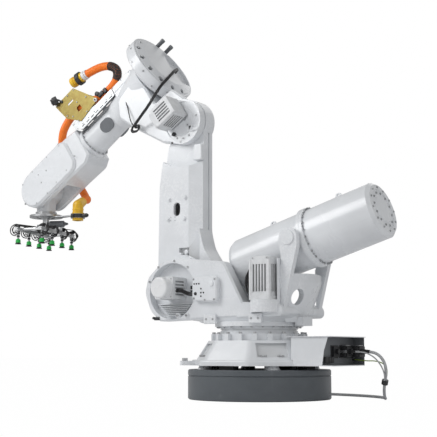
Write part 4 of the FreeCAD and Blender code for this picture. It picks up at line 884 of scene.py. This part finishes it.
class ROBOT_OT_hose_fittings(bpy.types.Operator):
    """Fit the cuffs, knobs and screws of the hose package"""

    bl_idname = "robot.hose_fittings"
    bl_label = "Hose fittings"

    def execute(self, context):
        self.coupling()
        self.bracket()
        self.clamps()
        self.swivel()
        return {"FINISHED"}

    def coupling(self):
        """Cuff, ribs and split ring at the hose's first end."""
        def sleeve(distance, *sizes):
            return collar, LOOP_ROUTE[0] + LOOP_START * distance, LOOP_START, *sizes

        piece_of("white_cuff", "white_plastic", "upper_arm",
                 sleeve(0.045, 0.0425, HOSE_BORE, 0.030), sleeve(0.078, 0.0400, HOSE_BORE, 0.016))
        piece_of("coupling_ribs", "yellow_plastic", "upper_arm",
                 *[sleeve(-0.022 - 0.010 * i, 0.0455, 0.040, 0.006) for i in range(4)])
        piece_of("coupling_end", "yellow_plastic", "upper_arm",
                 (disc, LOOP_ROUTE[0] - LOOP_START * 0.058, -LOOP_START, 0.048, 0.034))
        piece_of("split_ring", "black_plastic", "upper_arm", sleeve(-0.022, 0.058, 0.0478, 0.044))

    def bracket(self):
        """Knobs, clips, slots and screws on the gold bracket, the tray and the guide box."""
        knob_axis = (forearm.along * 0.85 + Y * 0.5).normalized()
        knob = arm(965, 500, 172)
        piece_of("hexagon_knob", "black_plastic", "upper_arm",
                 (disc, knob, knob_axis, 0.040, 0.046, 0.2, 6),
                 (disc, knob + knob_axis * 0.042, knob_axis, 0.030, 0.02))
        piece_of("knob_core", "zinc_steel", "upper_arm",
                 (disc, knob + knob_axis * 0.056, knob_axis, 0.014, 0.010))
        piece_of("knob_stay", "black_plastic", "upper_arm",
                 (disc, arm(940, 455, 158), Y, 0.013, 0.012),
                 (cable, [arm(940, 455, 165), arm(950, 478, 172), knob], 0.008))
        piece_of("round_knob", "white_plastic", "upper_arm",
                 (disc, arm(628, 196, 161), Y, 0.017, 0.010))
        piece_of("round_knob_core", "black_plastic", "upper_arm",
                 (disc, arm(628, 196, 171), Y, 0.008, 0.005))
        piece_of("rear_clips", "black_plastic", "upper_arm",
                 (soft_box, arm(560, 208, 150), (0.030, 0.012, 0.017), 0.004, 2, FOREARM_AXES),
                 (soft_box, arm(505, 200, 152), (0.015, 0.012, 0.022), 0.004, 2, FOREARM_AXES),
                 (disc, arm(590, 236, 146), Y, 0.021, 0.020))
        bracket_face, tray_face, box_face = 161.3, 156, 160
        seats = on_arm(bracket_face, (640, 215), (700, 300), (775, 455), (860, 458), (1010, 462),
                       (960, 300), (880, 175), (760, 178), (805, 330), (910, 250))
        screws("bracket_screws", seats, "upper_arm", radius=0.0065, height=0.005)
        seats = on_arm(tray_face, (470, 122), (540, 122), (700, 122), (780, 122), (860, 122),
                       (930, 122), (940, 186), (955, 186))
        screws("tray_screws", seats, "upper_arm", radius=0.005, height=0.004)
        # Painted shade: thin black strips on the tray stand for the dark inside of its slots.
        slot = (0.019, 0.0012, 0.004)
        slots = [(soft_box, arm(s, 104, tray_face), slot, 0.0008, 1, FOREARM_AXES)
                 for s in range(490, 900, 62)]
        piece_of("tray_slots", "black_rubber", "upper_arm", *slots)
        seats = on_arm(box_face, (200, 60), (300, 52), (420, 46), (215, 150), (320, 150),
                       (425, 150))
        screws("slide_box_screws", seats, "upper_arm", height=0.005)

    def clamps(self):
        """Ears on both sides of the two hose clamps."""
        ears = []
        for place, along in ((LOOP_ROUTE[0], LOOP_START), (LOOP_ROUTE[-1], LOOP_ALONG)):
            across = along.cross(Y).normalized()
            for sign in (1, -1):
                ears.append((soft_box, place + across * (sign * 0.050), (0.012, 0.016, 0.014),
                             0.003, 2, (across, along, Y)))
        piece_of("clamp_ears", "black_plastic", "upper_arm", *ears)

    def swivel(self):
        """Ears, latch and lips of the swivel elbow."""
        base = below_tool(-392, 0, 0)
        ears = [(soft_box, base + mm(0, y, -65), (0.014, 0.012, 0.018), 0.003) for y in (66, -66)]
        piece_of("swivel_ears", "black_plastic", "wrist_tilt", *ears,
                 (disc, base + mm(-62, 0, -64), -X, 0.019, 0.046),
                 (disc, base + mm(-106, 0, -64), -X, 0.014, 0.012),
                 (collar, base + mm(0, 0, -82), Z, 0.064, 0.0605, 0.034))
        piece_of("swivel_lips", "yellow_plastic", "wrist_tilt",
                 (collar, base + mm(0, 0, -105), Z, 0.0495, 0.030, 0.008),
                 (collar, base + mm(0, 0, -10), Z, 0.0515, 0.047, 0.010))


class ROBOT_OT_arm_fittings(bpy.types.Operator):
    """Fit the screws, plugs, ties and thin cables of the arm"""

    bl_idname = "robot.arm_fittings"
    bl_label = "Arm fittings"

    def execute(self, context):
        self.drum()
        self.axis_three()
        self.column()
        self.harness()
        self.balancer_ends()
        self.wrist()
        return {"FINISHED"}

    def wrist(self):
        """Screws of the wrist covers, the forearm's flange and the turning disc."""
        cover_face = 168
        seats = on_arm(cover_face, (1086, -71), (1228, -118), (1380, -131), (1519, -143),
                       (1670, -137), (1789, -53), (1518, 69), (1526, -14), (1180, 132),
                       (1350, 142), (1560, 143), (1720, 118), (1420, 40))
        screws("wrist_cover_screws", seats, "forearm", radius=0.0075, height=0.008)
        ring = [(forearm.at(0.935, 0.136 * c, 0.136 * s), -forearm.along)
                for c, s in around(16, 0.5)]
        screws("forearm_flange_screws", ring, "forearm", radius=0.007)
        disc_screws = [(below_tool(122 * c, 122 * s, 30), Z) for c, s in around(8)]
        screws("disc_screws", disc_screws, "wrist_tilt", radius=0.008, height=0.009)

    def drum(self):
        """Screws round the drum of axis 4 and on its back."""
        places = []
        for i, (c, s) in enumerate(at_degrees(*range(-10, 206, 24))):
            out = forearm.up * c + Y * s
            along = 0.018 if i % 2 else 0.058
            places.append((forearm.at(along, 0.044) + out * 0.330, out))
        screws("drum_screws", places, "upper_arm", radius=0.008)
        back = []
        for c, s in at_degrees(38, 62, 86, 110, 134):
            out = forearm.up * c + Y * s
            back.append((forearm.at(-0.026, 0.044) + out * 0.283, -forearm.along))
        screws("drum_back_screws", back, "upper_arm", radius=0.009, height=0.012)

    def axis_three(self):
        """Gear cover screws, plugs, oil fittings and the stop lug of axis 3."""
        face, ring = 0.206, 0.141
        circle = [(AXIS_3 + X * (ring * c) + Z * (ring * s) + Y * face, Y)
                  for c, s in at_degrees(-150, -120, -95, -70, -45, -20, 5, 30, 165)]
        screws("gear_cover_screws", circle, "upper_arm", radius=0.008, height=0.007)
        piece_of("black_plugs", "black_plastic", "upper_arm",
                 (disc, mm(674, 214, 2118), Y, 0.017, 0.012),
                 (disc, mm(700, 206, 2052), Y, 0.008, 0.006))
        piece_of("oil_fittings", "zinc_steel", "upper_arm",
                 (disc, mm(566, 214, 2232), Y, 0.014, 0.014, 0.15, 6),
                 (disc, mm(540, 206, 2180), Y, 0.010, 0.012, 0.15, 6),
                 (disc, mm(610, 206, 2050), Y, 0.010, 0.010, 0.15, 6))
        piece_of("stop_lug", "white_paint", "upper_arm",
                 (soft_box, mm(470, 196, 2140), (0.036, 0.024, 0.015), 0.006),
                 (soft_box, mm(512, 200, 2150), (0.020, 0.016, 0.026), 0.006))

    def column(self):
        """Handle, screws, plug and boss on the lower arm."""
        eye = [mm(500, 140, 1996), mm(500, 172, 1990), mm(486, 178, 1962), mm(470, 172, 1936),
               mm(470, 140, 1930)]
        piece_of("column_handle", "white_paint", "lower_arm", (cable, eye, 0.008))
        small = on_side(195, (718, 1440), (718, 1412), (676, 1440), (676, 1412))
        screws("column_screws", small, "lower_arm", radius=0.004, height=0.003)
        piece_of("column_plug", "black_plastic", "lower_arm",
                 (disc, mm(722, 195, 1010), Y, 0.008, 0.005))
        piece_of("column_boss", "white_paint", "lower_arm",
                 (soft_box, mm(592, 176, 1112), (0.040, 0.018, 0.016), 0.008),
                 (disc, mm(560, 170, 1150), Y, 0.018, 0.030),
                 (disc, mm(622, 170, 1132), Y, 0.015, 0.030))

    def balancer_ends(self):
        """Screw rings of the balancer's rear cover and middle flange."""
        rings = []
        for count, s, radius in ((12, 1.741, 0.129), (24, 1.182, 0.2235)):
            for up, across in around(count, 0.5):
                rings.append((balancer.at(s, radius * up, radius * across), balancer.along))
        screws("balancer_screws", rings, "balancer_cylinder", radius=0.0085, height=0.008)
        piece_of("balancer_ring", "white_paint", "balancer_cylinder",
                 (collar, balancer.at(1.740), balancer.along, 0.1525, 0.146, 0.006))

    def harness(self):
        """Ties round the harness, the thin cable and the loops under the drum."""
        start, end = arm(13, -299, 290), arm(144, -355, 310)
        along = (end - start).normalized()
        side = along.cross(forearm.up).normalized()
        axes = (along, side, side.cross(along))
        for i, share in enumerate((0.0, 0.6)):
            place = start.lerp(end, share)
            piece_of("harness_tie_%d" % i, "black_plastic", "upper_arm",
                     (soft_box, place, (0.004, 0.0065, 0.0165), 0.002, 2, axes),
                     (soft_box, place + side * 0.008, (0.005, 0.005, 0.004), 0.001, 2, axes))
        thin = [arm(363, -60, 186), arm(372, -150, 206), arm(390, -235, 222),
                arm(402, -300, 228), arm(394, -346, 226)]
        piece_of("thin_cable", "black_cable", "upper_arm", (cable, thin, 0.0045))
        loops = []
        for reach, drop, side in ((34, 16, 226), (44, 30, 238), (26, 40, 250)):
            route = [
                arm(372, -338, 200), arm(372 + reach, -330, side),
                arm(398 + reach, -352 - drop, side + 6), arm(372, -384 - drop, side),
                arm(344, -366, side - 10), arm(366, -340, 200),
            ]
            loops.append((cable, route, 0.005))
        piece_of("harness_loops", "black_cable", "upper_arm", *loops)


class ROBOT_OT_frame_fittings(bpy.types.Operator):
    """Fit the motors' details, the wiring box's sockets and the screws of the turning frame"""

    bl_idname = "robot.frame_fittings"
    bl_label = "Turning frame fittings"

    def execute(self, context):
        self.wiring_box()
        self.pocket()
        self.motors()
        return {"FINISHED"}

    def wiring_box(self):
        """Caps, screws and boss of the wiring box."""
        face = 378
        seats = on_side(
            face, (350, 875), (328, 875), (305, 875), (286, 837), (286, 806), (286, 779),
            (262, 806))
        piece_of("box_sockets", "black_plastic", "turret",
                 *[(disc, *seat, 0.0065, 0.002) for seat in seats],
                 (disc, mm(338, face, 800), Y, 0.013, 0.003))
        seats = on_side(376, (160, 905), (165, 752), (352, 765), (356, 910), (250, 750))
        screws("box_screws", seats, "turret", radius=0.008)
        piece_of("box_boss", "white_paint", "turret", (disc, mm(190, 374, 872), Y, 0.020, 0.012))

    def pocket(self):
        """Ribs, blocks and screws round the pocket of the second axis and below it."""
        ribs = [
            (soft_box, mm(600, 276, 640 + 15 * i), (0.070 + 0.016 * i, 0.018, 0.0028), 0.0012, 1)
            for i in range(7)
        ]
        piece_of("pocket_ribs", "white_paint", "turret", *ribs)
        piece_of("black_blocks", "black_plastic", "turret",
                 (soft_box, mm(440, 268, 856), (0.014, 0.018, 0.013), 0.003),
                 (soft_box, mm(440, 268, 822), (0.014, 0.018, 0.013), 0.003),
                 (soft_box, mm(745, 322, 618), (0.024, 0.020, 0.013), 0.004),
                 (disc, mm(772, 330, 622), Y, 0.010, 0.018))
        bosses = on_side(342, (452, 638), (536, 638))
        screws("boss_screws", bosses, "turret", radius=0.010, height=0.008)
        stops = on_side(352, (195, 604), (255, 604), (-212, 604), (-152, 604))
        screws("stop_screws", stops, "turret", radius=0.009, height=0.003)
        rim = [(mm(600 + 238 * c, 330, 831 + 238 * s), Y)
               for c, s in at_degrees(20, 55, 95, 130)]
        screws("pocket_rim_screws", rim, "turret", radius=0.009, height=0.007)

    def motors(self):
        """Posts, socket, cables and screws of the two near motors."""
        x, y, seat = -254, 310, 737
        posts = [(disc, mm(x + i * 80, y + j * 80, seat + 26), Z, 0.013, 0.268)
                 for i in (-1, 1) for j in (-1, 1)]
        piece_of("motor_1_posts", "motor_paint", "turret", *posts)
        cap = on_side(y + 81.5, (x - 60, seat + 307), (x + 60, seat + 307))
        screws("motor_1_cap_screws", cap, "turret", radius=0.005, height=0.004)
        piece_of("motor_1_socket", "black_plastic", "turret",
                 (soft_box, mm(x + 96, y, seat + 240), (0.010, 0.024, 0.020), 0.003))
        piece_of("cable_guard", "white_paint", "turret",
                 (soft_box, mm(-366, 296, 858), (0.003, 0.034, 0.185), 0.002))
        bundle = []
        for i in range(3):
            shift = -14 * i
            route = [
                mm(-150, 290 + shift, 980), mm(-112, 290 + shift, 972 + 8 * i),
                mm(-78, 286 + shift, 900), mm(-92, 280 + shift, 800), mm(-120, 276 + shift, 728),
            ]
            bundle.append((cable, route, 0.006))
        piece_of("motor_1_bundle", "black_cable", "turret", *bundle)
        rim = on_side(433, (530, 780), (530, 920), (670, 780), (670, 920))
        screws("motor_2_screws", rim, "turret")
        piece_of("motor_2_plate", "zinc_steel", "turret",
                 (soft_box, mm(600, 330, 939), (0.030, 0.020, 0.0008), 0.0004, 1))


class ROBOT_OT_base_fittings(bpy.types.Operator):
    """Fit the plugs' hoods, glands and strain reliefs and the bolts of the base"""

    bl_idname = "robot.base_fittings"
    bl_label = "Base fittings"

    def execute(self, context):
        bolts = []
        for c, s in at_degrees(45, 135, -135, -45):
            out, side = Vector((c, s, 0)), Vector((-s, c, 0))
            for place in (-0.086, -0.056, 0.046, 0.076):
                seat = out * 0.444 + side * place + Z * 0.319
                bolts.append((disc, seat, Z, 0.011, 0.016, 0.15, 6))
        piece_of("base_anchor_bolts", "zinc_steel", "base", *bolts)
        self.hoods()
        self.recess_shade()
        glands = ((-792, -178, 0.024), (-744, -70, 0.018), (-706, 60, 0.018))
        piece_of("gland_nuts", "black_plastic", "base",
                 *[(disc, mm(x, y, 359), -X, radius, 0.012, 0.2, 6) for x, y, radius in glands])
        self.relief("supply_relief", SUPPLY_ROUTE[0], 0.0175, 0.0125, 0.042)
        self.relief("signal_relief", SIGNAL_ROUTE[0], 0.0110, 0.0062, 0.026)
        self.relief("earth_relief", EARTH_ROUTE[0], 0.0080, 0.0048, 0.022)
        edge = [(mm(x, y, 466), Z) for x in (-740, -640, -540, -450) for y in (266, -266)]
        screws("cable_box_screws", edge, "base", height=0.004)
        piece_of("spare_sockets", "black_plastic", "base",
                 *[(soft_box, mm(-700, y, 300), (0.012, 0.018, 0.022), 0.003)
                   for y in (130, 172, 214)])
        return {"FINISHED"}

    def hoods(self):
        """Hoods of the plugs, with their levers."""
        half = 0.044
        hoods, levers = [], []
        for x, y in ((-762, -178), (-714, -70)):
            middle = mm(x, y, 359)
            hoods.append((soft_box, middle + X * 0.004, (0.024, half + 0.003, 0.041), 0.006))
            for sign in (1, -1):
                side = middle + Y * (sign * (half + 0.006))
                levers.append((soft_box, side, (0.030, 0.003, 0.010), 0.002))
            top = middle + Z * 0.045 - X * 0.004
            levers.append((soft_box, top, (0.018, half * 0.8, 0.003), 0.002))
        piece_of("plug_hoods", "black_plastic", "base", *hoods)
        piece_of("plug_levers", "zinc_steel", "base", *levers)

    def recess_shade(self):
        """Dark grey sheets inside the cable box: painted shade of its recess."""
        sheet = 0.0008
        sheets = (
            (mm(-607, -250.6, 362), (0.165, sheet, 0.098)),
            (mm(-607, 0, 262.6), (0.165, 0.249, sheet)),
            (mm(-607, 0, 461.8), (0.165, 0.249, sheet)),
            (mm(-681, 0, 362), (sheet, 0.249, 0.098)),
        )
        # Painted shade: dark sheets on the inside faces of the cable box.
        piece_of("box_recess_shade", "grey_plastic", "base",
                 *[(soft_box, centre, half, 0.0003, 1) for centre, half in sheets])

    def relief(self, name, exit_place, wide, narrow, length):
        """A ribbed sleeve that narrows towards its cable."""
        ribs = 5
        profile = [(0, 0), (0, wide)]
        for i in range(ribs):
            share = (i + 0.5) / ribs
            s = length * share
            r = wide + (narrow - wide) * share
            profile += [(s, r), (s + length * 0.05, r * 0.86), (s + length * 0.09, r * 0.86),
                        (s + length * 0.10, r * 0.97)]
        profile += [(length, narrow), (length, 0)]
        piece_of(name, "black_rubber", "base", (turned, profile, exit_place, -X, 24))


class ROBOT_OT_gripper_fittings(bpy.types.Operator):
    """Fit the air tubes, valves and screws of the suction gripper"""

    bl_idname = "robot.gripper_fittings"
    bl_label = "Gripper fittings"

    def execute(self, context):
        turn = math.radians(18)
        along = Vector((-math.sin(turn), math.cos(turn), 0))
        across = Vector((math.cos(turn), math.sin(turn), 0))
        grid = (across, along, Z)
        middle = below_tool(0, 0, 172)
        rail, spacing = 0.116, 0.205
        tubes, elbows, nuts = [], [], []
        for row in (-1, 1):
            side = across * row
            for n in (-1.5, -0.5, 0.5, 1.5):
                place = middle + side * rail + along * (n * spacing)
                low = place - Z * 0.046
                high = place + Z * 0.010
                elbows += [
                    (soft_box, high, (0.012, 0.012, 0.012), 0.003, 2, grid),
                    (disc, high, side, 0.008, 0.026),
                    (soft_box, low, (0.013, 0.013, 0.016), 0.004, 2, grid),
                    (disc, place - Z * 0.070, -Z, 0.014, 0.016),
                ]
                nuts.append((disc, place - Z * 0.034, Z, 0.017, 0.012, 0.15, 6))
                for k in range(3):
                    shift = along * (0.020 * (k - 1))
                    start = low - Z * (0.014 * k) + shift
                    end = middle + side * 0.034 + along * (n * 0.034)
                    tubes.append((cable, [
                        start + side * 0.010, start + side * (0.044 + 0.008 * k),
                        place + side * (0.054 + 0.005 * k) - Z * 0.004 + shift * 2,
                        place + side * 0.026 + Z * (0.022 + 0.008 * k),
                        place - side * 0.030 + Z * 0.012 + shift,
                        place.lerp(middle, 0.55) + Z * (0.006 + 0.008 * k) - side * 0.010,
                        end - Z * (0.004 + 0.012 * k),
                    ], 0.0044))
        piece_of("air_tubes", "black_cable", "tool", *tubes)
        piece_of("air_elbows", "black_plastic", "tool", *elbows)
        piece_of("holder_nuts", "zinc_steel", "tool", *nuts)
        piece_of("valve_blocks", "grey_plastic", "tool", *[
            (soft_box, middle + along * d + Z * 0.024, (0.026, 0.030, 0.020), 0.004, 2, grid)
            for d in (-0.10, 0.10)])
        piece_of("cross_bars", "aluminium", "tool", *[
            (soft_box, middle + along * d - Z * 0.012, (0.150, 0.010, 0.010), 0.002, 2, grid)
            for d in (-0.27, 0.27)])
        rails = [middle + across * x for x in (-rail, rail)]
        piece_of("rail_brackets", "zinc_steel", "tool", *[
            (soft_box, place + Z * 0.004, (0.022, 0.026, 0.004), 0.001, 2, grid)
            for place in rails])
        heads = [(place + along * y + Z * 0.008, Z) for place in rails for y in (-0.016, 0.016)]
        screws("bracket_heads", heads, "tool", radius=0.005, height=0.005)
        return {"FINISHED"}


class ROBOT_OT_stage(bpy.types.Operator):
    """Set the floor, the backdrop light, the lamps and the camera"""

    bl_idname = "robot.stage"
    bl_label = "Stage"

    def execute(self, context):
        sizes = context.scene.robot_stage
        self.floor()
        self.surroundings(context.scene, sizes.sky)
        self.lamp("key_lamp", (4.4, 5.8, 5.4), (0.6, 0, 1.2), 4.2, sizes.key_power)
        self.lamp("fill_lamp", (-5.4, 3.6, 2.8), (0.8, 0, 1.2), 4.0, sizes.fill_power)
        self.lamp("back_lamp", (1.0, -5.5, 5.0), (0.6, 0, 1.4), 4.0, sizes.fill_power)
        camera = bpy.data.objects.new("camera", bpy.data.cameras.new("camera"))
        context.scene.collection.objects.link(camera)
        level = Vector(sizes.camera_bearing).normalized()
        view = level * math.cos(sizes.camera_rise) + Z * math.sin(sizes.camera_rise)
        camera.location = sizes.camera_place
        camera.rotation_euler = view.to_track_quat("-Z", "Y").to_euler()
        camera.data.lens = sizes.lens
        camera.data.sensor_width = 36.0
        context.scene.camera = camera
        context.scene.view_settings.view_transform = "Standard"
        return {"FINISHED"}

    def floor(self):
        """A pale floor that the camera sees as nearly white, with the robot's shadow."""
        bm = bmesh.new()
        reach = 40.0
        corners = ((-reach, -reach), (reach, -reach), (reach, reach), (-reach, reach))
        bm.faces.new([bm.verts.new((x, y, 0)) for x, y in corners])
        mesh = bpy.data.meshes.new("floor")
        bm.to_mesh(mesh)
        bm.free()
        floor = bpy.data.objects.new("floor", mesh)
        bpy.context.scene.collection.objects.link(floor)
        f = Finish("floor_white")
        f.finish((0.86, 0.86, 0.87), 0.6)
        seen = f.node("ShaderNodeLightPath", {}, {})["Is Camera Ray"]
        glow = f.node("ShaderNodeEmission", {}, {"Color": (1, 1, 1), "Strength": 1.0})
        mixed = f.nodes.new("ShaderNodeMixShader")
        f.put(mixed.inputs[0], seen * 0.99)
        f.links.new(f.shader.outputs[0], mixed.inputs[1])
        f.links.new(glow.node.outputs[0], mixed.inputs[2])
        f.links.new(mixed.outputs[0], f.nodes["Material Output"].inputs["Surface"])
        floor.data.materials.append(f.material)

    def surroundings(self, scene, strength):
        """A world that lights softly and is white to the camera and through glass."""
        world = bpy.data.worlds.new("surroundings")
        scene.world = world
        world.use_nodes = True
        nodes, links = world.node_tree.nodes, world.node_tree.links
        path = nodes.new("ShaderNodeLightPath")
        seen = nodes.new("ShaderNodeMath")
        seen.operation = "MAXIMUM"
        links.new(path.outputs["Is Camera Ray"], seen.inputs[0])
        links.new(path.outputs["Is Transmission Ray"], seen.inputs[1])
        level = nodes.new("ShaderNodeMapRange")
        level.inputs["To Min"].default_value = strength
        level.inputs["To Max"].default_value = 1.0
        links.new(seen.outputs[0], level.inputs["Value"])
        nodes["Background"].inputs["Color"].default_value = (1, 1, 1, 1)
        links.new(level.outputs[0], nodes["Background"].inputs["Strength"])

    def lamp(self, name, place, target, size, watts):
        data = bpy.data.lights.new(name, "AREA")
        data.size = size
        data.energy = watts
        lamp = bpy.data.objects.new(name, data)
        lamp.location = place
        lamp.rotation_euler = (Vector(target) - Vector(place)).to_track_quat("-Z", "Y").to_euler()
        bpy.context.scene.collection.objects.link(lamp)


class ROBOT_PT_panel(bpy.types.Panel):
    """Lists the steps that dress the robot"""

    bl_idname = "ROBOT_PT_panel"
    bl_label = "Handling robot"
    bl_space_type = "VIEW_3D"
    bl_region_type = "UI"
    bl_category = "Robot"

    def draw(self, context):
        for operator in OPERATORS:
            self.layout.operator(operator.bl_idname)


GROUPS = {"robot_hose": HoseSizes, "robot_cords": CordSizes, "robot_stage": StageSizes}
OPERATORS = [
    ROBOT_OT_finishes, ROBOT_OT_cords, ROBOT_OT_hoses, ROBOT_OT_hose_fittings,
    ROBOT_OT_arm_fittings, ROBOT_OT_frame_fittings, ROBOT_OT_base_fittings,
    ROBOT_OT_gripper_fittings, ROBOT_OT_stage,
]
CLASSES = [*GROUPS.values(), *OPERATORS, ROBOT_PT_panel]


def register():
    for cls in CLASSES:
        bpy.utils.register_class(cls)
    for name, group in GROUPS.items():
        setattr(bpy.types.Scene, name, bpy.props.PointerProperty(type=group))


def unregister():
    for name in GROUPS:
        delattr(bpy.types.Scene, name)
    for cls in reversed(CLASSES):
        bpy.utils.unregister_class(cls)


def main():
    register()
    for operator in OPERATORS:
        group, name = operator.bl_idname.split(".")
        getattr(getattr(bpy.ops, group), name)()


if __name__ == "__main__":
    main()
